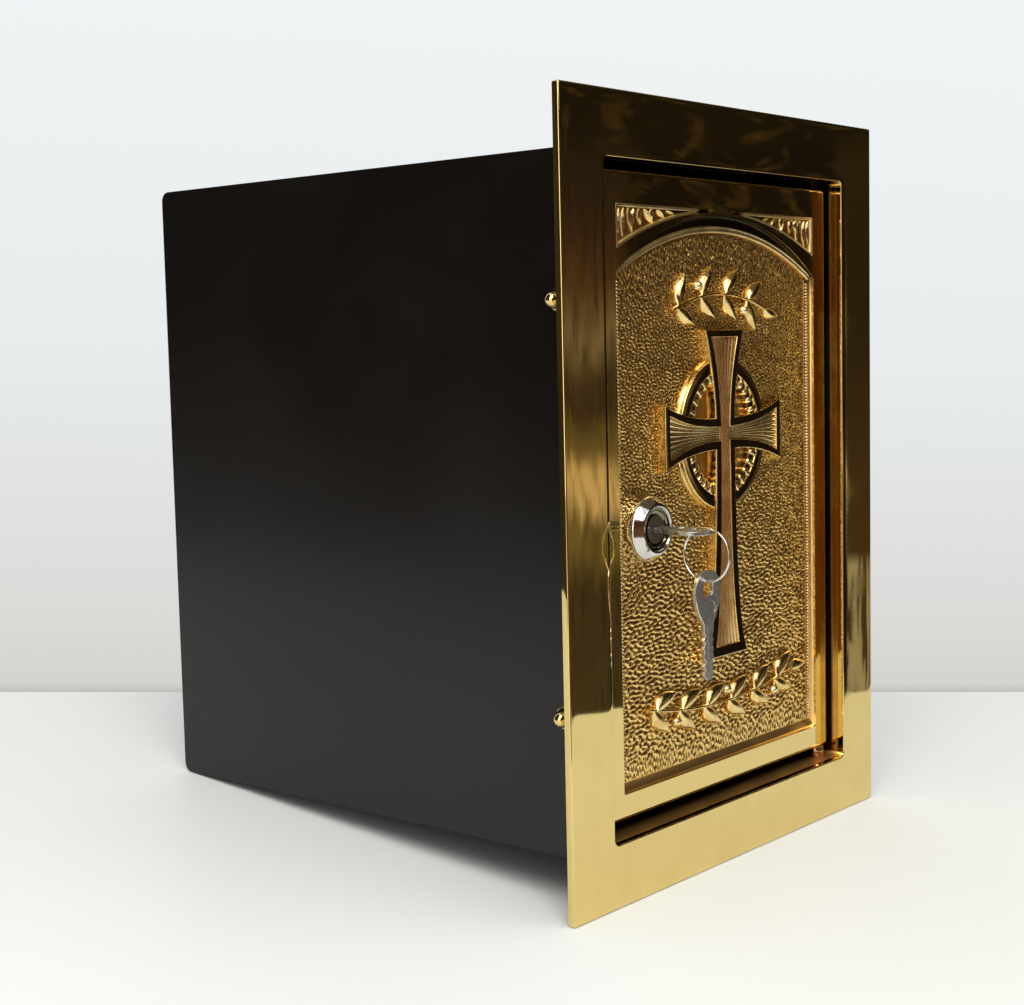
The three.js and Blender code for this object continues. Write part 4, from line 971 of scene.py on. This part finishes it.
def crossRim():
    outer = crossOutline("rim", [(6.6, 6.4), (-6.6, 6.4), (-6.8, -6.4), (6.8, -6.4)])
    inner = crossOutline("flutes", [(3.2, 2.7), (-3.2, 2.7), (-3.2, -2.7), (3.2, -2.7)])
    top, foot = cross["top"], cross["foot"]
    rings = profiled(outer, [(-0.85, foot), (-0.78, 7.3), (-0.45, 5.8), (-0.16, 4.3), (-0.04, 3.85),
                             (0.06, 3.66), (0.2, 3.55), (0.4, top)])
    rings += profiled(inner, [(-0.34, top), (-0.16, 3.56), (-0.04, 3.68), (0.05, 3.9),
                              (0.12, top + cross["pocket"]), (0.12, foot)])
    return reliefPiece("crossRim", [loftRings(rings, wrap=True)], crossBrass, 42, even=True)


def crossFlutes(name, arms, finish, crest):
    parts = []
    for arm, turn in arms:
        obj = newObject("armShape", meshFrom("armShape", [(0, 0, 0)], []), finish)
        look = cross["arms"][arm]
        root, control, end = (Vector((out, half + 0.25, 0)) for out, half in look["flutes"])
        growWith(obj, ribbedArm, {"Root": root, "Control": control, "End": end + Vector((0.2, 0, 0)),
                                  "Ribs": float(look["ribs"]), "Crest": crest, "Fall": 0.75, "Crown": 0.15,
                                  "Turn": math.radians(turn), "Centre": Vector((0, 0, cross["z"])),
                                  "Finish": finish})
        facing = sum(face.normal.y for face in obj.data.polygons)
        settle(addModifier(obj, "SOLIDIFY", thickness=1.6 * mm, offset=-1 if facing < 0 else 1))
        verts = np.array([v.co for v in obj.data.vertices]) / mm
        parts.append((verts, [tuple(p.vertices) for p in obj.data.polygons]))
        bpy.data.objects.remove(obj)
    return reliefPiece(name, parts, finish, 60, merge=1e-7)


crossRim()
crossFlutes("crossFlutesSide", [("side", 0), ("side", 180)], fluteBrass, 4.02)
crossFlutes("crossFlutesTall", [("upper", 90), ("stem", 270)], fluteCopper, 3.95)

# ring behind the cross, lower where it passes under the arms, with small teeth between them
reliefRing = {"section": [(31.9, 8.2), (31.8, 7.4), (31.5, 6.2), (31.3, 6.0), (31.1, 5.2), (31.02, 4.75),
                          (30.85, 4.45), (30.5, 4.3), (26.2, 4.3), (25.8, 4.42), (25.62, 4.7), (25.5, 5.3),
                          (25.4, 8.2)],
              "underArms": 6.6, "dipTo": 5.6,
              "bed": [(25.6, 8.2), (25.6, 5.15), (22.9, 5.2), (22.4, 5.35), (22.1, 5.8), (22.0, 8.2)]}
teeth = {"from": 21.5, "to": 26.5, "width": 2.1, "count": 5, "spacing": 11, "top": 4.0}


def ringAndTeeth():
    rings = turnedRings(reliefRing["section"], 320)
    for ring in rings:
        under = np.minimum(np.abs(ring[:, 0]), np.abs(ring[:, 2])) < reliefRing["underArms"]
        ring[:, 1] = np.where(under, np.maximum(ring[:, 1], reliefRing["dipTo"]), ring[:, 1])
        ring[:, 2] += cross["z"]
    reliefPiece("reliefRing", [loftRings(rings, wrap=True)], crossBrass, 45)
    # the bed under the teeth is painted near-black: painted shade in the gaps between them
    rings = turnedRings(reliefRing["bed"], 128, centre=(0, 0, cross["z"]))
    reliefPiece("toothBed", [loftRings(rings, wrap=True)], gapShadeBrass, 45)
    near, far, wide, top = (teeth[k] for k in ("from", "to", "width", "top"))
    rows = [(near, 0.4, top + 1.6), (near + 0.3, 0.75, top + 0.8), (near + 0.9, 1.0, top + 0.3),
            (near + 1.8, 1.05, top), (far - 1.4, 0.95, top), (far - 0.5, 0.7, top + 0.15),
            (far, 0.35, top + 0.5)]
    half = [(1 / 2, 0.35), (1 / 3, 0.08)]
    section = [(-aside, down) for aside, down in half] + [(0, 0)] + half[::-1]
    rings = []
    for r, w, y in rows:
        ring = [(r, y + down, wide * w * aside) for aside, down in section]
        foot = [(r, cross["foot"], wide * w * aside) for aside in (-1 / 2, 1 / 2)]
        rings.append(np.array([foot[0], *ring, foot[1]]))
    spots = []
    for quarter in range(4):
        for k in range(teeth["count"]):
            angle = quarter * 90 + 45 + (k - (teeth["count"] - 1) / 2) * teeth["spacing"]
            spots.append(((0, 0, cross["z"]), turnAbout(angle), (1, 1, 1)))
    return onPanel(copiesOf("ringTeeth", joinedMesh("tooth", [loftRings(rings)]), pearlBrass, spots))


ringAndTeeth()
print("cross and ring made")

# olive sprigs, above and below the cross; each stem is an arc between two angles
sprigs = {
    "upper": {"centreZ": -10, "radius": 89, "start": 112, "end": 68, "pairs": 4, "leaf": 14, "spread": 42},
    "lower": {"centreZ": 168, "radius": 257, "start": 258, "end": 282, "pairs": 6, "leaf": 16, "spread": 40},
    "top": 4.1, "foot": 7.5, "stemSide": 7.0, "buried": 8.1, "stem": 1.8, "stagger": 0.5, "olive": 2.2,
    "oliveSide": 6.6, "oliveAside": 4.6}


def sprig(name, look):
    top, buried, stem = sprigs["top"], sprigs["buried"], sprigs["stem"]
    radius, start, end = look["radius"], look["start"], look["end"]
    sign = 1 if end > start else -1

    def onArc(distance, angle, y=0.0):
        a = math.radians(angle)
        return (distance * math.cos(a), y, look["centreZ"] + distance * math.sin(a))

    def shareOf(share):
        return start + (end - start) * share

    rings = []
    for share in np.linspace(0, 1, 60):
        half = stem / 2 * (1.1 - 0.45 * share)
        section = [(-half * math.cos(a), sprigs["stemSide"] - (sprigs["stemSide"] - top - 0.9) * math.sin(a))
                   for a in np.radians(np.linspace(0, 180, 11))]
        section = [(-half * 1.15, buried), *section, (half * 1.15, buried)]
        rings.append(np.array([onArc(radius + d, shareOf(share), y) for d, y in section]))
    reliefPiece(name + "Stem", [loftRings(rings)], ornamentBrass)
    length = look["leaf"]
    for side, label in ((-1, "Inner"), (1, "Outer")):
        shape = leafShape("leaf", length, length * 0.44, top, sprigs["foot"], -0.12 * side * sign, veins=7)
        spots = []
        for i in range(look["pairs"]):
            angle = shareOf((i + 0.15) / look["pairs"]) + (side + 1) / 2 * sprigs["stagger"] * sign
            direction = angle + sign * 90 + side * look["spread"]
            spots.append((onArc(radius + side * 0.3, angle), turnAbout(direction), (1, 1, 1)))
        if side > 0:
            spots.append((onArc(radius, shareOf(0.98)), turnAbout(end + sign * 90), (0.9, 1, 0.85)))
        onPanel(copiesOf(name + label + "Leaves", shape, ornamentBrass, spots))
    olive, oliveSide = sprigs["olive"], sprigs["oliveSide"]
    profile = [(olive * math.cos(a), oliveSide - (oliveSide - top) * math.sin(a))
               for a in np.radians(np.linspace(0, 90, 8)[:-1])]
    profile = [(olive, buried), *profile, (0.35, top + 0.01), (0.3, top + 0.12), (0.02, top + 0.15)]
    spots = []
    for i in range(1, look["pairs"], 2):
        angle = shareOf((i + 0.15) / look["pairs"])
        aside = sprigs["oliveAside"] * (1 if i % 4 == 1 else -1)
        spots.append((onArc(radius + aside, angle), turnAbout(angle + 90), (1.12, 1, 0.92)))
    shape = joinedMesh("olive", [loftRings(turnedRings(profile, 32))])
    return onPanel(copiesOf(name + "Olives", shape, paintedHighlightBrass, spots))


sprig("upperSprig", sprigs["upper"])
sprig("lowerSprig", sprigs["lower"])
print("sprigs made")

# lock: a stepped bezel and a threaded barrel, both turned
lock = {"bezel": [(12.9, 7.5), (12.9, 3.6), (12.86, 3.25), (12.7, 2.8), (12.45, 2.4), (10.1, -0.2),
                  (9.85, -0.42), (9.5, -0.55), (9.2, -0.6), (8.85, -0.58), (8.65, -0.45), (8.5, -0.15),
                  (8.38, 0.15), (8.2, 0.28), (7.6, 0.3), (7.35, 0.4), (7.2, 0.7), (7.1, 1.0), (6.9, 1.15),
                  (6.0, 1.2), (5.8, 1.35)],
        "bore": 5.8, "end": 21.5, "barrel": 9.5, "thread": 0.28, "threadFrom": 12.6, "turns": 8}


def lockBody():
    crest, root, end = lock["barrel"], lock["barrel"] - lock["thread"], lock["end"]
    profile = lock["bezel"] + [(lock["bore"], end), (crest - 0.4, end)]
    step = (end - 0.4 - lock["threadFrom"]) / lock["turns"]
    for k in range(lock["turns"]):
        y = end - 0.4 - k * step
        profile += [(crest, y), (crest, y - 0.25 * step), (root, y - 0.5 * step), (root, y - 0.75 * step)]
    profile += [(crest, lock["threadFrom"]), (crest, lock["bezel"][0][1])]
    rings = turnedRings(profile, 128, centre=(lockAxis["x"], 0, lockAxis["z"]))
    obj = pieceFrom("lockBody", [loftRings(rings, wrap=True)], lockChrome, 40)
    return ridesOn(obj, "door", "chrome", "lock_body")


lockBody()
dressed("lock_washer", zincPlate, "door", "zinc_steel", 0.15)
dressed("lock_nut", zincPlate, "door", "zinc_steel", 0.4)
dressed("lock_plug", plugChrome, "lock_plug", "chrome", 0.2)
dressed("lock_cam", zincPlate, "lock_plug", "zinc_steel", 0.3)
dressed("cam_screw", zincPlate, "lock_plug", "zinc_steel", 0.2)

# keys: a stamped oval on both sides of the bow, and a milled groove along the blade
keys = {"thickness": 1.8, "ovalAt": 14.6, "oval": (4.8, 3.1), "ovalDepth": 0.28, "grooveFrom": 21.5,
        "grooveTo": 44.0, "grooveAside": 0.9, "grooveWidth": 1.1, "grooveDepth": 0.38, "bowY": -24.2,
        "ringY": -22.3, "spareZ": -25.8}
keyPlace = {"keyInserted": Matrix.Translation(Vector((lockAxis["x"], keys["bowY"], lockAxis["z"])) * mm),
            "keySpare": Matrix.Translation(Vector((lockAxis["x"], keys["ringY"], keys["spareZ"])) * mm)
            @ Matrix.Rotation(math.radians(-90), 4, "X")}


def stampKey(obj):
    cutters = []
    middle, length = (keys["grooveTo"] + keys["grooveFrom"]) / 2, keys["grooveTo"] - keys["grooveFrom"]
    ovalSize = (*keys["oval"], 2 * keys["ovalDepth"])
    grooveSize = (keys["grooveWidth"], length, 2 * keys["grooveDepth"])
    for side in (-1, 1):
        face = side * keys["thickness"] / 2
        oval, groove = bmesh.new(), bmesh.new()
        bmesh.ops.create_cone(oval, cap_ends=True, segments=48, radius1=1, radius2=1, depth=1)
        bmesh.ops.create_cube(groove, size=1)
        for edit, size, centre in ((oval, ovalSize, (0, keys["ovalAt"], face)),
                                   (groove, grooveSize, (side * keys["grooveAside"], middle, face))):
            edit.transform(keyPlace[obj.name] @ Matrix.Translation(Vector(centre) * mm)
                           @ Matrix.Diagonal((*(Vector(size) * mm), 1)))
            cutters.append(newObject("stamp", meshOf("stamp", edit), keyNickel))
    cutWith(obj, cutters)


dressed("key_inserted", keyNickel, "key", "key_nickel", 0.12, prepare=stampKey)
dressed("key_spare", keyNickel, "spare_key", "key_nickel", 0.12, prepare=stampKey)

keyWire = {"radius": 10.2, "wire": 0.5, "z": -20.1}


def keyRing():
    wire = keyWire["wire"]
    centre = [lockAxis["x"], keys["ringY"], keyWire["z"]]
    rings = []
    for a in np.linspace(0, 2 * math.pi, 144, endpoint=False):
        section = [(wire * math.sin(b), keyWire["radius"] + wire * math.cos(b))
                   for b in np.linspace(0, 2 * math.pi, 14, endpoint=False)]
        rings.append(np.array([[x, r * math.cos(a), r * math.sin(a)] for x, r in section]) + centre)
    obj = pieceFrom("keyRing", [loftRings(rings, wrap=True)], ringWire, 60)
    return ridesOn(obj, "key_ring", "ring_wire", "key_ring")


keyRing()
print("lock and keys made")

# the stage: a pale table that meets a pale wall, and cards that only reflections see
stage = {"tilt": 5.26, "tableZ": -152.5, "table": (0.88, 0.90, 0.87), "tableReach": 4000,
         "wallFrom": (-89, 399), "wallTo": (355, 32), "wallRise": 2.6, "cardFrom": (270, -290),
         "cardTo": (375, -160)}
tableNormal = Vector((0, -math.sin(math.radians(stage["tilt"])), math.cos(math.radians(stage["tilt"]))))
tablePoint = Vector((0, 0, stage["tableZ"] * mm))
reflections = ["Is Glossy Ray"]


def onTable(x, y):
    point = Vector((x * mm, y * mm, 0))
    aside = tableNormal.x * (point.x - tablePoint.x) + tableNormal.y * (point.y - tablePoint.y)
    point.z = tablePoint.z - aside / tableNormal.z
    return point


def stageSheet(name, corners, finish):
    mesh = bpy.data.meshes.new(name)
    mesh.from_pydata([tuple(c) for c in corners], [], [(0, 1, 2, 3)])
    obj = newObject(name, mesh, finish)
    return obj


def table():
    finish, tree, shader, place = newFinish("tableTop", metallic=0.0, specular=0.2)
    fine = useGroup(tree, metalGrain, {"Place": place, "Grain": 60.0, "Patch": 9.0})
    worn = tuple(a * b for a, b in zip(stage["table"], (0.95, 0.96, 0.95)))
    tone = mixed(tree, times(tree, fine["Patch"], 0.25), stage["table"], worn)
    feed(tree, shader, {"Base Color": tone, "Roughness": 0.5})
    reach = stage["tableReach"]
    corners = [onTable(x * reach, y * reach) for x, y in ((-1, -1), (1, -1), (1, 1), (-1, 1))]
    return stageSheet("tableTop", corners, finish)


# light of its own for the given rays, from the front only; clear for all others
def glowFor(tree, tone, rays):
    glow = nodeOut(tree, "ShaderNodeEmission", {"Color": tone, "Strength": 1.0})
    clear = nodeOut(tree, "ShaderNodeBsdfTransparent")
    path = tree.nodes.new("ShaderNodeLightPath").outputs
    share = path[rays[0]]
    for ray in rays[1:]:
        share = maths(tree, "MAXIMUM", share, path[ray])
    back = tree.nodes.new("ShaderNodeNewGeometry").outputs["Backfacing"]
    share = times(tree, share, maths(tree, "SUBTRACT", 1.0, back))
    blend = nodeOut(tree, "ShaderNodeMixShader", {0: share, 1: clear, 2: glow})
    feed(tree, next(n for n in tree.nodes if n.type == "OUTPUT_MATERIAL"), {"Surface": blend})


def toneRamp(tree, value, stops):
    made = newNode(tree, "ShaderNodeValToRGB", {0: value})
    ramp = made.color_ramp
    for element, (position, tint) in zip(ramp.elements, (stops[0], stops[-1])):
        element.position, element.color = position, (*tint, 1.0)
    for position, tint in stops[1:-1]:
        ramp.elements.new(position).color = (*tint, 1.0)
    return made.outputs[0]


# the wall's glow by height above the table: painted shade, darkest at the table line, painted light growing to
# near white above
wallLightAndShade = [(0.0, (0.50, 0.51, 0.46)), (0.006, (0.65, 0.65, 0.62)), (0.07, (0.71, 0.71, 0.69)),
             (0.3, (0.81, 0.84, 0.85)), (1.0, (0.95, 0.98, 0.99))]


def wall():
    finish, tree, _, place = newFinish("wallTone")
    a, b = onTable(*stage["wallFrom"]), onTable(*stage["wallTo"])
    along = (b - a).normalized()
    height = vectorMaths(tree, "DOT_PRODUCT", place, tableNormal, "Value")
    lift = maths(tree, "SUBTRACT", height, a.dot(tableNormal))
    glowFor(tree, toneRamp(tree, times(tree, lift, 1.6), wallLightAndShade), ["Is Camera Ray", "Is Transmission Ray"])
    low, high, rise = a - along * 3, b + along * 3, Vector((0, 0, stage["wallRise"]))
    return stageSheet("backWall", [low, high, high + rise, low + rise], finish)


# what the brass mirrors to the right: a dim room with warm and green light, and a dark figure in the middle
roomTones = [(0.0, (0.064, 0.048, 0.032)), (0.10, (0.06, 0.045, 0.028)), (0.17, (0.17, 0.135, 0.066)),
             (0.23, (0.19, 0.14, 0.07)), (0.29, (0.66, 0.50, 0.31)), (0.35, (0.60, 0.46, 0.28)),
             (0.40, (0.16, 0.12, 0.06)), (0.45, (0.14, 0.11, 0.05)), (0.52, (0.055, 0.037, 0.022)),
             (0.60, (0.07, 0.05, 0.035)), (0.69, (0.20, 0.155, 0.11)), (0.80, (0.09, 0.05, 0.03)),
             (0.90, (0.045, 0.026, 0.02)), (1.0, (0.022, 0.017, 0.014))]
figure = {"from": -0.016, "to": 0.098, "blur": 0.006, "tone": (0.012, 0.009, 0.007),
          "blotch": (0.05, 0.031, 0.015), "crown": (0.014, 0.011, 0.008)}
palePatch = {"tone": (0.36, 0.33, 0.27), "low": -0.163, "high": -0.088, "blur": 0.012}
room = {"patch": (0.018, 0.012, 0.009), "rightLow": (0.062, 0.04, 0.022), "rightHigh": (0.026, 0.02, 0.011),
        "foot": -0.3, "rise": 0.78}


# a soft-ended band of values: it fades in up to start and out from end
def band(tree, value, start, end, blur):
    return times(tree, between(tree, value, start - blur, start), between(tree, value, end + blur, end))


def roomCard():
    finish, tree, _, place = newFinish("roomTone")
    a, b = onTable(*stage["cardFrom"]), onTable(*stage["cardTo"])
    along = (b - a).normalized()
    level = Vector((along.x, along.y, 0)).normalized()
    side = vectorMaths(tree, "DOT_PRODUCT", place, level, "Value")
    up = parted(tree, place)[2]
    column = nodeOut(tree, "ShaderNodeCombineXYZ", {0: times(tree, side, 150.0), 2: times(tree, up, 13.0)})
    streaks = noise(tree, column, 1.0, 3.0, Distortion=0.8)
    shifted = maths(tree, "MULTIPLY_ADD", maths(tree, "SUBTRACT", streaks, 0.5), 0.06, up)
    tone = toneRamp(tree, between(tree, shifted, -0.17, 0.20), roomTones)
    patch = between(tree, noise(tree, column, 1.7, 3.0), 0.50, 0.60, 0.0, 0.45)
    tone = mixed(tree, patch, tone, room["patch"])
    right = between(tree, side, figure["to"] + 0.004, figure["to"] + 0.01)
    rightTone = mixed(tree, between(tree, up, -0.08, 0.10), room["rightLow"], room["rightHigh"])
    tone = mixed(tree, right, tone, rightTone)
    inBand = band(tree, up, palePatch["low"], palePatch["high"], palePatch["blur"])
    pale = times(tree, times(tree, inBand, right), between(tree, streaks, 0.42, 0.5))
    tone = mixed(tree, pale, tone, palePatch["tone"])
    blotch = noise(tree, place, 48.0, 5.0, Distortion=1.0)
    spots = times(tree, between(tree, blotch, 0.52, 0.68), between(tree, up, 0.10, 0.14))
    inFigure = band(tree, side, figure["from"], figure["to"], figure["blur"])
    tone = mixed(tree, inFigure, tone, mixed(tree, spots, figure["tone"], figure["blotch"]))
    crown = mixed(tree, spots, figure["crown"], figure["blotch"])
    glowFor(tree, mixed(tree, between(tree, up, 0.165, 0.20), tone, crown), reflections)
    low, high = a - along * 0.75, b + along * 1.1
    low.z = high.z = room["foot"]
    rise = Vector((0, 0, room["rise"]))
    return stageSheet("roomCard", [high, low, low + rise, high + rise], finish)


# a card that stands on the line between two places and fades from its foot to its top
def sideCard(name, start, end, low, high, foot, top, mottle=0.3, lean=(0, 0)):
    finish, tree, _, place = newFinish(name)
    tint = mixed(tree, between(tree, parted(tree, place)[2], low, high), foot, top)
    shade = between(tree, noise(tree, place, 9.0, 2.0), 0.4, 0.65, 1.0 - mottle, 1.0)
    grey = nodeOut(tree, "ShaderNodeCombineXYZ", {0: shade, 1: shade, 2: shade})
    glowFor(tree, mixed(tree, 1.0, tint, grey, "MULTIPLY"), reflections)
    topStart, topEnd = Vector(start) + Vector(lean), Vector(end) + Vector(lean)
    corners = [(*end, low), (*start, low), (*topStart, high), (*topEnd, high)]
    return stageSheet(name, corners, finish)


table()
wall()
roomCard()
sideCard("roomBehind", (-0.375, -0.21), (0.05, -0.70), -0.3, 0.2, (0.24, 0.12, 0.05), (0.085, 0.032, 0.01))
sideCard("roomFar", (-0.30, 1.10), (-0.75, -0.05), -0.3, 1.6, (0.05, 0.04, 0.03), (0.02, 0.016, 0.012))
sideCard("roomAbove", (0.117, -0.479), (1.06, 0.69), 0.44, 1.1, (0.15, 0.105, 0.06), (0.19, 0.14, 0.085),
         lean=(-0.5, 0.4))
sideCard("windowLeft", (-1.5, 0.3), (-0.95, -0.75), -0.1, 1.1, (2.2, 2.1, 1.9), (2.8, 2.75, 2.6), 0.15)
sideCard("windowFront", (-0.75, -1.6), (0.75, -1.6), 0.35, 1.6, (1.6, 1.5, 1.35), (2.2, 2.15, 2.0), 0.15)
print("stage made")

# soft light from above and in front, over a pale world that looks brighter than it lights
lights = {"world": 0.66, "worldSeen": 0.95, "worldTone": (0.98, 0.99, 1.0), "tone": (1.0, 0.98, 0.95),
          "key": 19.0, "keySize": 1.1, "keyAt": (-0.9, -0.7, 1.25),
          "fill": 4.0, "fillSize": 1.4, "fillAt": (0.6, -1.3, 0.9)}


def lighting():
    world = bpy.data.worlds.new("paleStudio")
    scene.world = world
    world.use_nodes = True
    tree = world.node_tree
    tree.nodes.clear()
    path = tree.nodes.new("ShaderNodeLightPath").outputs
    seen = maths(tree, "MAXIMUM", path["Is Camera Ray"], path["Is Glossy Ray"])
    seen = maths(tree, "MAXIMUM", seen, path["Is Transmission Ray"])
    tone = lights["worldTone"]
    plain, bright = (nodeOut(tree, "ShaderNodeBackground", {"Color": tone, "Strength": lights[name]})
                     for name in ("world", "worldSeen"))
    blend = nodeOut(tree, "ShaderNodeMixShader", {0: seen, 1: plain, 2: bright})
    newNode(tree, "ShaderNodeOutputWorld", {"Surface": blend}, is_active_output=True)
    for name in ("key", "fill"):
        lamp = bpy.data.lights.new(name + "Light", "AREA")
        setAll(lamp, {"energy": lights[name], "size": lights[name + "Size"], "color": lights["tone"]})
        holder = bpy.data.objects.new(name + "Light", lamp)
        holder.location = lights[name + "At"]
        holder.rotation_euler = (-Vector(lights[name + "At"])).to_track_quat("-Z", "Y").to_euler()
        scene.collection.objects.link(holder)


lighting()

# the photo's camera: its place, and the ways that its right side and its front point
view = {"lens": 59.886, "sensor": 36, "at": (-0.58320, -0.38187, 0.06232),
        "right": (0.64875, -0.76066, -0.02284), "forward": (0.7560, 0.6476, -0.0949)}


def camera():
    eye = bpy.data.cameras.new("eye")
    setAll(eye, {"sensor_fit": "HORIZONTAL", "sensor_width": view["sensor"], "lens": view["lens"],
                 "clip_start": 0.01})
    holder = bpy.data.objects.new("eye", eye)
    scene.collection.objects.link(holder)
    right = Vector(view["right"]).normalized()
    back = -Vector(view["forward"]).normalized()
    right = (right - back * right.dot(back)).normalized()
    turn = Matrix((right, back.cross(right), back)).transposed().to_4x4()
    holder.matrix_world = Matrix.Translation(view["at"]) @ turn
    scene.camera = holder


camera()
scene.view_settings.view_transform = "Standard"
